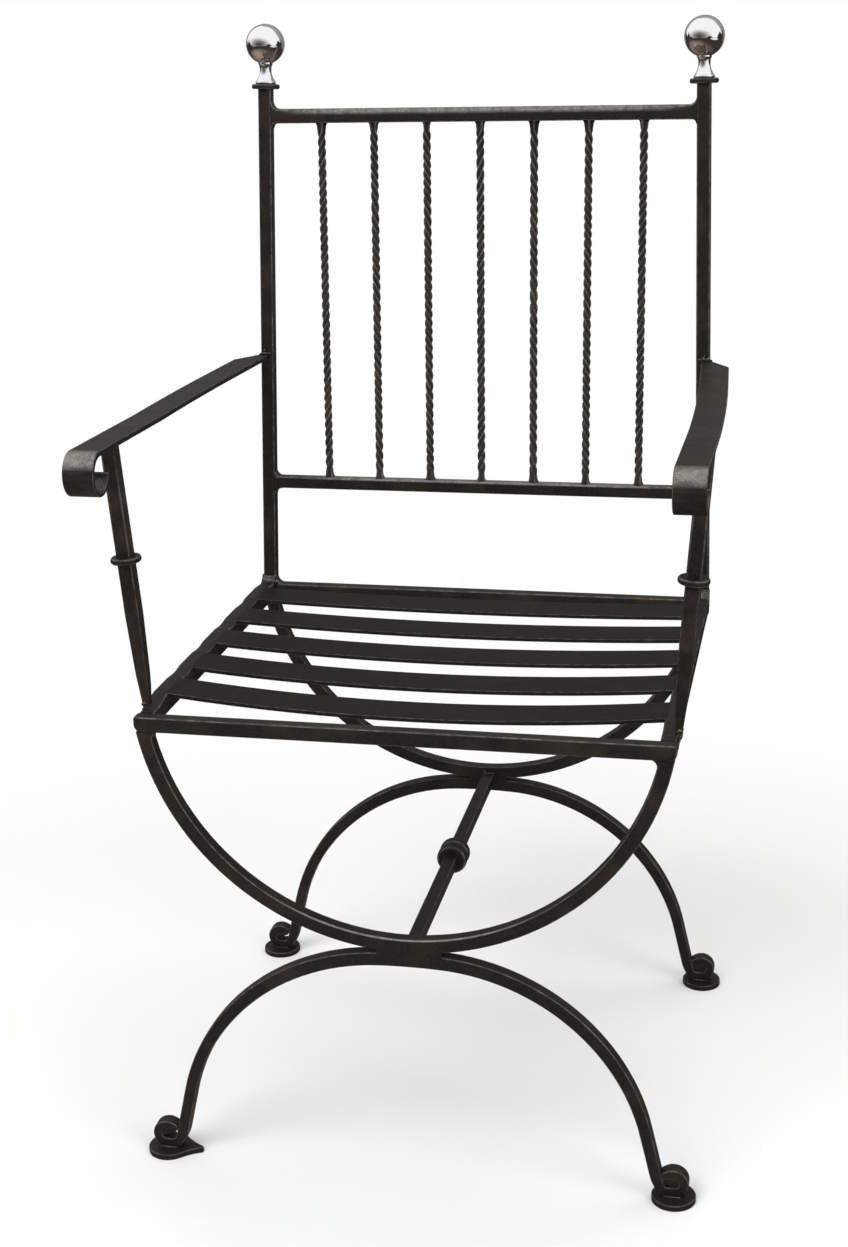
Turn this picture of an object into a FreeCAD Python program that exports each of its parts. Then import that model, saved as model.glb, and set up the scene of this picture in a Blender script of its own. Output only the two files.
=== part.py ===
import FreeCAD, Part

import math
import os

from FreeCAD import Vector

# A welded garden armchair of forged square and flat bar, in millimetres.
# X runs from left to right as one faces the chair, Y runs from front to back and Z runs up.
# The chair is laid out from the floor and from the plane of its rear legs, where Y is 0.
# At the end everything moves together, so that the origin lies on the floor under the middle
# of the chair's overall box.

# Seat frame
SEAT_HEIGHT = 443.6
SEAT_RAIL_HEIGHT = 14.4
SEAT_RAIL_DEPTH = 13.0
SEAT_RAIL_ARRIS = 2.4
FRAME_SPACING = 463.0
FRAME_DEPTH = 410.0
SEAT_RAIL_WELD = 5.0
FRONT_RAIL_OVERHANG = 1.6
FRONT_RAIL_TOP_CORNER = 2.6
FRONT_RAIL_LOWER_CORNER = 6.5

# Seat slats, counted from the back
SLAT_COUNT = 5
SLAT_WIDTH = 42.0
SLAT_THICKNESS = 4.0
SLAT_ARRIS = 1.0
SLAT_PITCH = 72.0
SLAT_FIRST = 54.0
SLAT_OVERHANG = 0.6
SLAT_WELD_LENGTH = 7.0
SLAT_WELD_DROP = 0.4
SLAT_SHOULDER_RADIUS = 60.0
SLAT_FIRST_SAG = 4.0
SLAT_SAG_STEP = 2.0

# Back posts and rails, measured along the posts from the top of the seat rails,
# but the top rail from the posts' upper ends
POST_BAR = 13.8
POST_ARRIS = 2.8
POST_LENGTH = 514.4
BACK_LEAN = 3.24
POST_TOE_IN = 1.22
BACK_RAIL_DEPTH = 13.2
BACK_RAIL_ARRIS = 2.6
TOP_RAIL_DROP = 18.8
TOP_RAIL_HEIGHT = 14.3
TOP_RAIL_UPPER_WELD = 8.0
TOP_RAIL_LOWER_WELD = 4.5
LOWER_RAIL_POSITION = 117.6
LOWER_RAIL_HEIGHT = 12.9
LOWER_RAIL_WELD = 5.0
WELD_BITE = 0.7

# Twisted spindles
SPINDLE_COUNT = 7
SPINDLE_PITCH = 54.4
SPINDLE_SIZE = 5.7
SPINDLE_TURN_LENGTH = 38.0
SPINDLE_STEPS_PER_TURN = 10
SPINDLE_WELD_WIDENING = 0.45
SPINDLE_WELD_LENGTH = 7.0

# Finials, with the middle of each hollow in the stem as shares of its depth and height
STUD_DIAMETER = 6.0
STUD_CLEARANCE = 0.4
STUD_IN_POST = 25.0
STUD_IN_FINIAL = 15.0
STUD_END_GAP = 1.0
WASHER_DIAMETER = 28.2
WASHER_THICKNESS = 4.9
WASHER_ROUNDING = 2.0
BELL_FLARE_DIAMETER = 20.8
BELL_RIM_HEIGHT = 2.8
BELL_NECK_DIAMETER = 11.9
BELL_NECK_HEIGHT = 14.7
BELL_CUP_DIAMETER = 14.6
BELL_CUP_HEIGHT = 19.6
BELL_FLARE_MIDDLE = (0.25, 0.45)
BELL_CUP_MIDDLE = (0.3, 0.6)
BALL_DIAMETER = 39.0
BALL_HEIGHT = 39.0

# Arms
ARM_HEIGHT = 690.0
ARM_THICKNESS = 5.0
ARM_WIDTH = 27.5
ARM_ARRIS = 1.2
ARM_OUTSET = 32.5
ARM_OVERHANG = 63.0
ARM_RISE = 3.3
ARM_RISE_START = 300.0
ARM_BEND_RADIUS = 4380.0
ARM_BEND_START = 330.0
ARM_BEND_ANGLE = 3.0
ARM_CLIP_START = 24.0
ARM_CURL_RADIUS = 19.6
ARM_CURL_TURN = 255.0
ARM_CURL_THIN = 3.8

# Arm supports
SUPPORT_SETBACK = 29.0
SUPPORT_FOOT_OUTSET = 6.7
SUPPORT_FOOT_DROP = 6.0
SUPPORT_LEAN = 4.4
SUPPORT_SIZE = 11.5
SUPPORT_FOOT_SIZE = 8.0
SUPPORT_TAPER_LENGTH = 84.0
SUPPORT_ARRIS_SHARE = 0.16
COLLAR_POSITION = 135.4
COLLAR_DIAMETER = 27.5
COLLAR_THICKNESS = 6.0
COLLAR_ROUNDING = 2.7

# Leg frames
LEG_BAR = 13.3
LEG_ARRIS = 2.0
BOW_DROP = 191.65
JOINT_GAP = 0.6
JOINT_HALF_WIDTH_FRONT = 30.0
JOINT_HALF_WIDTH_REAR = 21.0
BOW_WELD = 7.0
CROWN_RADIUS = 580.0
CROWN_HALF_ANGLE = 2.87
ARCH_INSET = 12.5
FRONT_ARCH_SHIFT = 4.0
JOINT_SHIFT = 5.0

# Feet of the arches, forged thinner than the bar and rolled into a scroll
LEG_THINNING = 3.1
TOE_START = 25.0
TOE_INSET = 13.4
TOE_LANDING_ANGLE = 45.0
FOOT_SCROLL_RADIUS = 13.9
FOOT_SCROLL_ANGLE = 121.0
FOOT_THICKNESS = 9.6
FOOT_EYE_RADIUS = 4.3
FOOT_EYE_LENGTH = 5.3
FOOT_EYE_OFFSET = 0.7
FOOT_TIP_GAP = 0.4

# Foot pads
PAD_DIAMETER = 40.4
PAD_THICKNESS = 5.5
PAD_ROUNDING = 1.4
PAD_TAIL_LENGTH = 31.0
PAD_TAIL_RADIUS = 2.3
PAD_TAIL_HOLLOW_RADIUS = 60.0

# Stretcher between the front and the rear legs
STRETCHER_SIZE = 12.5
STRETCHER_ARRIS = 2.0
KNOB_DIAMETER = 30.0
KNOB_LENGTH = 26.0
KNOB_GROOVE_DIAMETER = 23.0
KNOB_GROOVE_WIDTH = 3.0
KNOB_ROUNDING = 4.5

SIDES = (("left", -1), ("right", 1))
UP = Vector(0, 0, 1)
BACKWARD = Vector(0, 1, 0)
# Extra length of a blank that is trimmed later, a size beyond the chair, and one too small to matter
TRIM = 20.0
FAR = 2000.0
TINY = 0.001
QUARTER = 90
HALF = 180
WHOLE = 360

seat_rail_underside = SEAT_HEIGHT - SEAT_RAIL_HEIGHT
joint_height = seat_rail_underside - BOW_DROP - (LEG_BAR + JOINT_GAP) / 2
top_rail_position = POST_LENGTH - TOP_RAIL_DROP
arm_reach = FRAME_DEPTH + ARM_OVERHANG
arm_outer_edge = FRAME_SPACING / 2 + ARM_OUTSET
support_forward = FRAME_DEPTH - SUPPORT_SETBACK
support_foot_position = FRAME_SPACING / 2 + SUPPORT_FOOT_OUTSET


def circle_point(centre, radius, angle):
    """Point of an upright circle in the XZ plane, at an angle in degrees from +X."""
    turned = math.radians(angle)
    return centre + Vector(radius * math.cos(turned), 0, radius * math.sin(turned))


def circle_arc(centre, radius, first, last):
    """Arc of an upright circle in the XZ plane, between two angles in degrees."""
    start = circle_point(centre, radius, first)
    middle = circle_point(centre, radius, (first + last) / 2)
    end = circle_point(centre, radius, last)
    return Part.Arc(start, middle, end).toShape()


def angle_from(centre, point):
    """Angle of a point in the XZ plane, in degrees from +X, between 0 and 360."""
    return math.degrees(math.atan2(point.z - centre.z, point.x - centre.x)) % 360


def upright(x, z):
    """Point of the XZ plane."""
    return Vector(x, 0, z)


def chain(points):
    """Straight edges from point to point."""
    return [Part.makeLine(start, end) for start, end in zip(points, points[1:])]


def mirrored(shapes):
    """The shapes as a mirror in the chair's middle plane shows them."""
    return [shape.mirror(Vector(0, 0, 0), Vector(1, 0, 0)) for shape in shapes]


def joined_wire(edges):
    """One closed wire from edges that meet end to end."""
    return Part.Wire(Part.__sortEdges__(edges))


def rounded_plate(edges, depth, arris):
    """Bar whose side outline is given in the XZ plane, with every rim edge rounded."""
    face = Part.Face(joined_wire(edges))
    plate = face.extrude(Vector(0, depth, 0))
    plate.translate(Vector(0, -depth / 2, 0))
    rim = [edge for edge in plate.Edges if edge.BoundBox.YLength < TINY]
    return plate.makeFillet(arris, rim)


def rounded_square(width, depth, arris, z):
    """Level wire of a rectangular bar's section with rounded corners."""
    half_width = width / 2
    half_depth = depth / 2
    diagonal = arris * (1 - math.sqrt(0.5))
    edges = []
    for quarter in range(4):
        turned = quarter % 2 == 1
        reach = half_depth if turned else half_width
        spread = half_width if turned else half_depth
        start = Vector(reach, arris - spread, z)
        end = Vector(reach, spread - arris, z)
        corner = Vector(reach - diagonal, spread - diagonal, z)
        after = Vector(reach - arris, spread, z)
        pieces = [Part.makeLine(start, end), Part.Arc(end, corner, after).toShape()]
        for piece in pieces:
            piece.rotate(Vector(0, 0, 0), UP, 90 * quarter)
            edges.append(piece)
    return Part.Wire(edges)


def upright_bar(width, depth, arris, bottom, top):
    """Plumb bar of rounded rectangular section on the Z axis."""
    face = Part.Face(rounded_square(width, depth, arris, bottom))
    return face.extrude(Vector(0, 0, top - bottom))


def bar_along_y(width, height, arris, half_length):
    """Level bar along Y, centred on the origin."""
    bar = upright_bar(width, height, arris, -half_length, half_length)
    bar.rotate(Vector(0, 0, 0), Vector(1, 0, 0), 90)
    return bar


def moved(shape, x=0.0, y=0.0, z=0.0):
    """A copy of the shape, moved."""
    return shape.translated(Vector(x, y, z))


def without_below(shape, level):
    """The shape with everything below a level cut off."""
    block = Part.makeBox(FAR, FAR, FAR, Vector(-FAR / 2, -FAR / 2, level - FAR))
    return shape.cut(block)


def without_above(shape, level):
    """The shape with everything above a level cut off."""
    block = Part.makeBox(FAR, FAR, FAR, Vector(-FAR / 2, -FAR / 2, level))
    return shape.cut(block)


def leaned_back(shape):
    """A part of the back, turned about the seat's height so that it leans backwards."""
    leaned = shape.copy()
    leaned.rotate(Vector(0, 0, SEAT_HEIGHT), Vector(1, 0, 0), -BACK_LEAN)
    return leaned


def on_post(shape, sign):
    """A part drawn on the Z axis from the seat's top, set on one post before the back leans."""
    placed = moved(shape, x=sign * FRAME_SPACING / 2, z=SEAT_HEIGHT)
    foot = Vector(sign * FRAME_SPACING / 2, 0, SEAT_HEIGHT)
    placed.rotate(foot, BACKWARD, -sign * POST_TOE_IN)
    return placed


def post_inner_face(height):
    """Distance from the middle plane to a post's inner face, at a height above the seat."""
    return FRAME_SPACING / 2 - POST_BAR / 2 - height * math.tan(math.radians(POST_TOE_IN))


def post_centre(height):
    """Distance of a leaning post's centre line behind the rear legs' plane, at a height."""
    return height * math.tan(math.radians(BACK_LEAN))


def plumb_post(sign):
    """Square post before the back leans."""
    below = SEAT_RAIL_HEIGHT + TRIM
    post = upright_bar(POST_BAR, POST_BAR, POST_ARRIS, -below, POST_LENGTH)
    return on_post(post, sign)


def plumb_stud_hole(sign):
    """Hole down into a post's top for its finial's stud, before the back leans."""
    hole_bottom = Vector(0, 0, POST_LENGTH - STUD_IN_POST)
    hole = Part.makeCylinder((STUD_DIAMETER + STUD_CLEARANCE) / 2, STUD_IN_POST, hole_bottom)
    return on_post(hole, sign)


def flared_rail(face, bottom, top, lower_weld, upper_weld):
    """Rail between the posts whose ends widen into weld fillets against the posts."""
    touch = face + WELD_BITE
    end = face + POST_BAR / 2
    half = chain([upright(0, top), upright(touch - upper_weld, top)])
    half.append(circle_arc(upright(touch - upper_weld, top + upper_weld), upper_weld, 270, 360))
    rim = [upright(touch, top + upper_weld), upright(end, top + upper_weld)]
    if lower_weld > 0:
        rim += [upright(end, bottom - lower_weld), upright(touch, bottom - lower_weld)]
        half.append(circle_arc(upright(touch - lower_weld, bottom - lower_weld), lower_weld, 0, 90))
        half += chain([upright(touch - lower_weld, bottom), upright(0, bottom)])
    else:
        rim += [upright(end, bottom), upright(0, bottom)]
    half += chain(rim)
    return rounded_plate(half + mirrored(half), BACK_RAIL_DEPTH, BACK_RAIL_ARRIS)


def back_rail(position, height, lower_weld, upper_weld, posts):
    """Cross rail of the back, given by the height of its upper face above the seat."""
    top = SEAT_HEIGHT + position
    face = post_inner_face(position - height / 2)
    rail = flared_rail(face, top - height, top, lower_weld, upper_weld)
    return rail.cut(posts[0]).cut(posts[1])


def twisted_spindle():
    """Square bar twisted about its own length, widened into a weld at both ends."""
    length = top_rail_position - TOP_RAIL_HEIGHT - LOWER_RAIL_POSITION
    count = round(length / SPINDLE_TURN_LENGTH * SPINDLE_STEPS_PER_TURN)
    rings = []
    for step in range(count + 1):
        height = length * step / count
        to_end = min(height, length - height)
        widening = SPINDLE_WELD_WIDENING * max(0, 1 - to_end / SPINDLE_WELD_LENGTH) ** 2
        corner = SPINDLE_SIZE / math.sqrt(2) * (1 + widening)
        turn = 2 * math.pi * height / SPINDLE_TURN_LENGTH
        ring = []
        for quarter in range(4):
            angle = turn + quarter * math.pi / 2
            ring.append(Vector(corner * math.cos(angle), corner * math.sin(angle), height))
        rings.append(ring)
    faces = [Part.Face(Part.makePolygon(ring + ring[:1])) for ring in (rings[0], rings[-1])]
    for low, high in zip(rings, rings[1:]):
        for corner in range(4):
            after = (corner + 1) % 4
            lower = [low[corner], low[after], high[after], low[corner]]
            upper = [low[corner], high[after], high[corner], low[corner]]
            faces += [Part.Face(Part.makePolygon(lower)), Part.Face(Part.makePolygon(upper))]
    return Part.Solid(Part.Shell(faces))


def turned(profile_edges):
    """Solid of revolution about the Z axis from a closed outline in the XZ plane."""
    face = Part.Face(joined_wire(profile_edges))
    return face.revolve(Vector(0, 0, 0), UP, 360)


def turned_ring(diameter, thickness, rounding):
    """Flat disc with its two rims rounded, standing on the XY plane."""
    disc = Part.makeCylinder(diameter / 2, thickness)
    rims = [edge for edge in disc.Edges if edge.BoundBox.ZLength < TINY]
    return disc.makeFillet(rounding, rims)


def washer():
    """Round washer under a finial, standing on the XY plane."""
    hole = Part.makeCylinder((STUD_DIAMETER + STUD_CLEARANCE) / 2, WASHER_THICKNESS)
    return turned_ring(WASHER_DIAMETER, WASHER_THICKNESS, WASHER_ROUNDING).cut(hole)


def finial():
    """Polished ball on a bell-shaped stem, standing on the XY plane, with a blind hole."""
    ball_radius = BALL_DIAMETER / 2
    cup_radius = BELL_CUP_DIAMETER / 2
    neck_radius = BELL_NECK_DIAMETER / 2
    flare_radius = BELL_FLARE_DIAMETER / 2
    rim = BELL_RIM_HEIGHT / 2
    shoulder = flare_radius - rim / 2
    seat_on_ball = BALL_HEIGHT - math.sqrt(ball_radius ** 2 - cup_radius ** 2)
    across, along = BELL_FLARE_MIDDLE
    low_middle = upright(
        neck_radius + (shoulder - neck_radius) * across,
        BELL_RIM_HEIGHT + (BELL_NECK_HEIGHT - BELL_RIM_HEIGHT) * along,
    )
    across, along = BELL_CUP_MIDDLE
    high_middle = upright(
        neck_radius + (cup_radius - neck_radius) * across,
        BELL_NECK_HEIGHT + (BELL_CUP_HEIGHT - BELL_NECK_HEIGHT) * along,
    )
    ball_middle = upright(ball_radius, BALL_HEIGHT)
    base = upright(shoulder, 0)
    rim_out = upright(flare_radius, rim)
    rim_top = upright(shoulder, BELL_RIM_HEIGHT)
    neck = upright(neck_radius, BELL_NECK_HEIGHT)
    cup = upright(cup_radius, BELL_CUP_HEIGHT)
    cup_top = upright(cup_radius, seat_on_ball)
    top = upright(0, BALL_HEIGHT + ball_radius)
    outline = [
        Part.makeLine(upright(0, 0), base),
        Part.Arc(base, rim_out, rim_top).toShape(),
        Part.Arc(rim_top, low_middle, neck).toShape(),
        Part.Arc(neck, high_middle, cup).toShape(),
        Part.makeLine(cup, cup_top),
        Part.Arc(cup_top, ball_middle, top).toShape(),
        Part.makeLine(top, upright(0, 0)),
    ]
    depth = STUD_IN_FINIAL + STUD_END_GAP
    hole = Part.makeCylinder((STUD_DIAMETER + STUD_CLEARANCE) / 2, depth)
    return turned(outline).cut(hole)


def stud():
    """Stud from the bottom of the post's hole up into the finial, standing on the XY plane."""
    return Part.makeCylinder(STUD_DIAMETER / 2, STUD_IN_POST + WASHER_THICKNESS + STUD_IN_FINIAL)


def slat(index):
    """Flat seat bar across the side rails, hanging a little lower in its middle."""
    sag = SLAT_FIRST_SAG + SLAT_SAG_STEP * index
    rail_half = POST_BAR / 2
    span = FRAME_SPACING / 2 - rail_half + SEAT_RAIL_ARRIS
    end = FRAME_SPACING / 2 + rail_half + SLAT_OVERHANG
    slope = 2 * math.atan(sag / span)
    slope_angle = math.degrees(slope)
    belly_radius = span / math.sin(slope) - SLAT_SHOULDER_RADIUS
    half = []
    for level in (0, SLAT_THICKNESS):
        shoulder = upright(span, SEAT_HEIGHT - SLAT_SHOULDER_RADIUS)
        belly = upright(0, SEAT_HEIGHT - sag + belly_radius)
        shoulder_radius = SLAT_SHOULDER_RADIUS + level
        half.append(circle_arc(shoulder, shoulder_radius, 90, 90 + slope_angle))
        half.append(circle_arc(belly, belly_radius - level, 270 + slope_angle, 270))
        half += chain([upright(span, SEAT_HEIGHT + level), upright(end, SEAT_HEIGHT + level)])
    half += chain([upright(end, SEAT_HEIGHT), upright(end, SEAT_HEIGHT + SLAT_THICKNESS)])
    plate = rounded_plate(half + mirrored(half), SLAT_WIDTH, SLAT_ARRIS)
    for weld in slat_welds():
        plate = plate.fuse(weld)
    return moved(plate, y=-SLAT_FIRST - SLAT_PITCH * index)


def slat_welds():
    """Four ramps of weld metal from a slat's long edges down onto the two side rails."""
    inner = FRAME_SPACING / 2 - POST_BAR / 2 + SEAT_RAIL_ARRIS
    length = POST_BAR - 2 * SEAT_RAIL_ARRIS
    top = SEAT_HEIGHT + SLAT_THICKNESS - SLAT_WELD_DROP
    welds = []
    for across in (-1, 1):
        edge = across * (SLAT_WIDTH / 2 - SLAT_ARRIS)
        corners = [
            Vector(0, edge, SEAT_HEIGHT),
            Vector(0, edge + across * SLAT_WELD_LENGTH, SEAT_HEIGHT),
            Vector(0, edge, top),
            Vector(0, edge, SEAT_HEIGHT),
        ]
        ramp = Part.Face(Part.makePolygon(corners)).extrude(Vector(length, 0, 0))
        welds += [moved(ramp, x=inner), moved(ramp, x=-inner - length)]
    return welds


def bow_outline():
    """Half-round bow in the XZ plane, whose ends widen into welds under the seat rail."""
    half_spacing = FRAME_SPACING / 2
    radius = (half_spacing ** 2 + BOW_DROP ** 2) / (2 * BOW_DROP)
    centre = upright(0, seat_rail_underside - BOW_DROP + radius)
    inner = radius - LEG_BAR / 2
    outer = radius + LEG_BAR / 2
    top = seat_rail_underside + TRIM
    weld_level = seat_rail_underside + WELD_BITE
    weld_height = weld_level - BOW_WELD
    weld_x = math.sqrt((inner - BOW_WELD) ** 2 - (weld_height - centre.z) ** 2)
    weld_centre = upright(weld_x, weld_height)
    meeting = angle_from(centre, weld_centre)
    outer_end = 360 - math.degrees(math.asin((centre.z - top) / outer))
    outer_top = circle_point(centre, outer, outer_end)
    half = [
        circle_arc(centre, inner, 270, meeting),
        circle_arc(weld_centre, BOW_WELD, meeting, WHOLE + QUARTER),
    ]
    half += chain([upright(weld_x, weld_level), upright(weld_x, top), outer_top])
    half.append(circle_arc(centre, outer, outer_end, 270))
    return half + mirrored(half)


def upper_bow(y):
    """Bow that hangs from one seat rail."""
    bow = rounded_plate(bow_outline(), LEG_BAR, LEG_ARRIS)
    return moved(without_above(bow, seat_rail_underside), y=y)


def beside(line_point, direction, distance):
    """Point at a distance to the outer side of a slanting line in the XZ plane."""
    return line_point + upright(-direction.z, direction.x) * distance


def at_level(line_point, direction, level):
    """Point of a slanting line in the XZ plane at a level."""
    return line_point + direction * ((level - line_point.z) / direction.z)


def crossing(first, first_direction, second, second_direction):
    """Point in the XZ plane where two slanting lines cross."""
    share = (second - first).cross(second_direction).y / first_direction.cross(second_direction).y
    return first + first_direction * share


def leg_circles():
    """Circles of an arch's crown and of a leg's inner and outer sides, and the leg's lean below."""
    crown = upright(0, joint_height - (JOINT_GAP + LEG_BAR) / 2 - CROWN_RADIUS)
    crown_share = math.sin(math.radians(CROWN_HALF_ANGLE))
    half_width = FRAME_SPACING / 2 - ARCH_INSET
    radius = (half_width - CROWN_RADIUS * crown_share) / (1 - crown_share)
    leg = circle_point(crown, CROWN_RADIUS - radius, QUARTER - CROWN_HALF_ANGLE)
    inner = circle_point(leg, -LEG_THINNING / 2, QUARTER - CROWN_HALF_ANGLE)
    outer = circle_point(leg, LEG_THINNING / 2, QUARTER - CROWN_HALF_ANGLE)
    inner_radius = radius - (LEG_BAR - LEG_THINNING) / 2
    outer_radius = radius + (LEG_BAR - LEG_THINNING) / 2
    toe_start = upright(FRAME_SPACING / 2 - TOE_INSET, TOE_START)
    half_view = math.degrees(math.acos(inner_radius / (toe_start - inner).Length))
    lean = (angle_from(inner, toe_start) + half_view) % WHOLE
    return crown, inner, inner_radius, outer, outer_radius, lean


def foot_centres():
    """Middles of the two ends of a foot's eye and of the scroll round it."""
    crown, inner, inner_radius, outer, outer_radius, lean = leg_circles()
    down = circle_point(upright(0, 0), 1, lean - QUARTER)
    knee = circle_point(outer, outer_radius, lean)
    eye_level = PAD_THICKNESS + FOOT_THICKNESS + FOOT_EYE_RADIUS
    near = at_level(beside(knee, down, FOOT_EYE_RADIUS), down, eye_level)
    far = near + upright(FOOT_EYE_LENGTH, 0)
    scroll = upright(far.x - FOOT_EYE_OFFSET, PAD_THICKNESS + FOOT_SCROLL_RADIUS)
    return near, far, scroll


def arch_outline():
    """Arch that stands on the pads: a flat crown, round legs and an outward scroll at each foot."""
    crown, inner, inner_radius, outer, outer_radius, lean = leg_circles()
    eye_near, eye_far, scroll = foot_centres()
    crown_end = QUARTER - CROWN_HALF_ANGLE
    down = circle_point(upright(0, 0), 1, lean - QUARTER)
    inner_knee = circle_point(inner, inner_radius, lean)
    outer_knee = circle_point(outer, outer_radius, lean)
    toe_start = at_level(inner_knee, down, TOE_START)
    landing = math.sin(math.radians(TOE_LANDING_ANGLE)) - math.sin(math.radians(lean))
    toe_radius = (TOE_START - PAD_THICKNESS) / landing
    toe = beside(toe_start, down, toe_radius)
    toe_end = circle_point(toe, toe_radius, HALF + TOE_LANDING_ANGLE)
    tip_line = beside(outer_knee, down, FOOT_TIP_GAP)
    tip_start = circle_point(scroll, FOOT_SCROLL_RADIUS, FOOT_SCROLL_ANGLE)
    tip_outside = crossing(tip_start, (tip_start - scroll).cross(BACKWARD), tip_line, down)
    tip_inside = at_level(tip_line, down, eye_far.z + FOOT_EYE_RADIUS)
    half = [
        circle_arc(crown, CROWN_RADIUS - LEG_BAR / 2, QUARTER, crown_end),
        circle_arc(inner, inner_radius, crown_end, lean),
        circle_arc(toe, toe_radius, HALF + lean, HALF + TOE_LANDING_ANGLE),
        circle_arc(scroll, FOOT_SCROLL_RADIUS, -QUARTER, FOOT_SCROLL_ANGLE),
        circle_arc(eye_far, FOOT_EYE_RADIUS, QUARTER, -QUARTER),
        circle_arc(eye_near, FOOT_EYE_RADIUS, HALF + QUARTER, HALF + lean),
        circle_arc(outer, outer_radius, lean, crown_end),
        circle_arc(crown, CROWN_RADIUS + LEG_BAR / 2, crown_end, QUARTER),
    ]
    half += chain([inner_knee, toe_start])
    half += chain([toe_end, upright(scroll.x, PAD_THICKNESS)])
    half += chain([tip_start, tip_outside, tip_inside, circle_point(eye_far, FOOT_EYE_RADIUS, QUARTER)])
    half += chain([circle_point(eye, FOOT_EYE_RADIUS, -QUARTER) for eye in (eye_far, eye_near)])
    half += chain([circle_point(eye_near, FOOT_EYE_RADIUS, HALF + lean), outer_knee])
    return half + mirrored(half)


def lower_arch(x, y):
    """Arch of one leg frame with its two foot scrolls."""
    return moved(rounded_plate(arch_outline(), LEG_BAR, LEG_ARRIS), x=x, y=y)


def joint_weld(y, half_width, bow, arch):
    """Weld metal that fills the wedge between a bow and an arch, on both sides of their touch."""
    block = Part.makeBox(2 * half_width, LEG_BAR, LEG_BAR)
    placed = moved(block, x=JOINT_SHIFT - half_width, y=y - LEG_BAR / 2, z=joint_height - LEG_BAR / 2)
    return placed.cut(bow).cut(arch)


def pad():
    """Round foot pad, standing on the XY plane with its upper rim rounded."""
    disc = Part.makeCylinder(PAD_DIAMETER / 2, PAD_THICKNESS)
    rim = [edge for edge in disc.Edges if edge.BoundBox.ZMin > PAD_THICKNESS - TINY]
    return disc.makeFillet(PAD_ROUNDING, rim)


def tailed_pad():
    """Foot pad drawn out into a short tail towards the chair's middle."""
    radius = PAD_DIAMETER / 2
    hollow_to_pad = radius + PAD_TAIL_HOLLOW_RADIUS
    hollow_to_tip = PAD_TAIL_RADIUS + PAD_TAIL_HOLLOW_RADIUS
    hollow_x = (hollow_to_pad ** 2 - hollow_to_tip ** 2 + PAD_TAIL_LENGTH ** 2) / (2 * PAD_TAIL_LENGTH)
    tip = Vector(PAD_TAIL_LENGTH, 0, 0)
    rims = []
    edges = []
    for side in (-1, 1):
        hollow = Vector(hollow_x, side * math.sqrt(hollow_to_pad ** 2 - hollow_x ** 2), 0)
        start = hollow * (radius / hollow_to_pad)
        end = tip + (hollow - tip) * (PAD_TAIL_RADIUS / hollow_to_tip)
        inward = (start + end) * 0.5 - hollow
        middle = hollow + inward * (PAD_TAIL_HOLLOW_RADIUS / inward.Length)
        edges.append(Part.Arc(start, middle, end).toShape())
        rims += [start, end]
    edges.append(Part.Arc(rims[0], Vector(-radius, 0, 0), rims[2]).toShape())
    edges.append(Part.Arc(rims[1], tip + Vector(PAD_TAIL_RADIUS, 0, 0), rims[3]).toShape())
    plate = Part.Face(joined_wire(edges)).extrude(Vector(0, 0, PAD_THICKNESS))
    rim = [edge for edge in plate.Edges if edge.BoundBox.ZMin > PAD_THICKNESS - TINY]
    return plate.makeFillet(PAD_ROUNDING, rim)


def stretcher():
    """Square bar between the two leg frames at the height of their joints."""
    half_length = (FRAME_DEPTH - LEG_BAR) / 2
    bar = bar_along_y(STRETCHER_SIZE, STRETCHER_SIZE, STRETCHER_ARRIS, half_length)
    return moved(bar, x=JOINT_SHIFT, y=-FRAME_DEPTH / 2, z=joint_height)


def knob(bar):
    """Two rounded beads with a groove between them, on the middle of the stretcher."""
    bead_length = (KNOB_LENGTH - KNOB_GROOVE_WIDTH) / 2
    bead = turned_ring(KNOB_DIAMETER, bead_length, KNOB_ROUNDING)
    core = Part.makeCylinder(KNOB_GROOVE_DIAMETER / 2, KNOB_LENGTH - bead_length)
    body = bead.fuse(moved(core, z=bead_length / 2))
    body = body.fuse(moved(bead, z=bead_length + KNOB_GROOVE_WIDTH))
    body.rotate(Vector(0, 0, 0), Vector(1, 0, 0), 90)
    placed = moved(body, x=JOINT_SHIFT, y=(KNOB_LENGTH - FRAME_DEPTH) / 2, z=joint_height)
    return placed.cut(bar)


def arm_side_outline():
    """Side outline of an arm in the XZ plane, with X as the distance in front of the rear legs."""
    front_top = ARM_HEIGHT + ARM_RISE
    centre = upright(arm_reach - ARM_CURL_RADIUS, front_top - ARM_CURL_RADIUS)
    inner_radius = (2 * ARM_CURL_RADIUS - ARM_THICKNESS - ARM_CURL_THIN) / 2
    inner_centre = upright(centre.x, front_top - ARM_THICKNESS - inner_radius)
    last = 90 - ARM_CURL_TURN
    outer_end = circle_point(centre, ARM_CURL_RADIUS, last)
    inner_end = circle_point(inner_centre, inner_radius, last)
    tip = circle_point((outer_end + inner_end) * 0.5, (outer_end - inner_end).Length / 2, last - 90)
    rear = -post_centre(ARM_HEIGHT - SEAT_HEIGHT) - POST_BAR
    upper = [
        upright(rear, ARM_HEIGHT),
        upright(ARM_RISE_START, ARM_HEIGHT),
        upright(centre.x, front_top),
    ]
    lower = [point - upright(0, ARM_THICKNESS) for point in upper]
    edges = chain(upper) + chain(lower) + chain([upper[0], lower[0]])
    edges.append(circle_arc(centre, ARM_CURL_RADIUS, 90, last))
    edges.append(circle_arc(inner_centre, inner_radius, 90, last))
    edges.append(Part.Arc(outer_end, tip, inner_end).toShape())
    return edges


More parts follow.
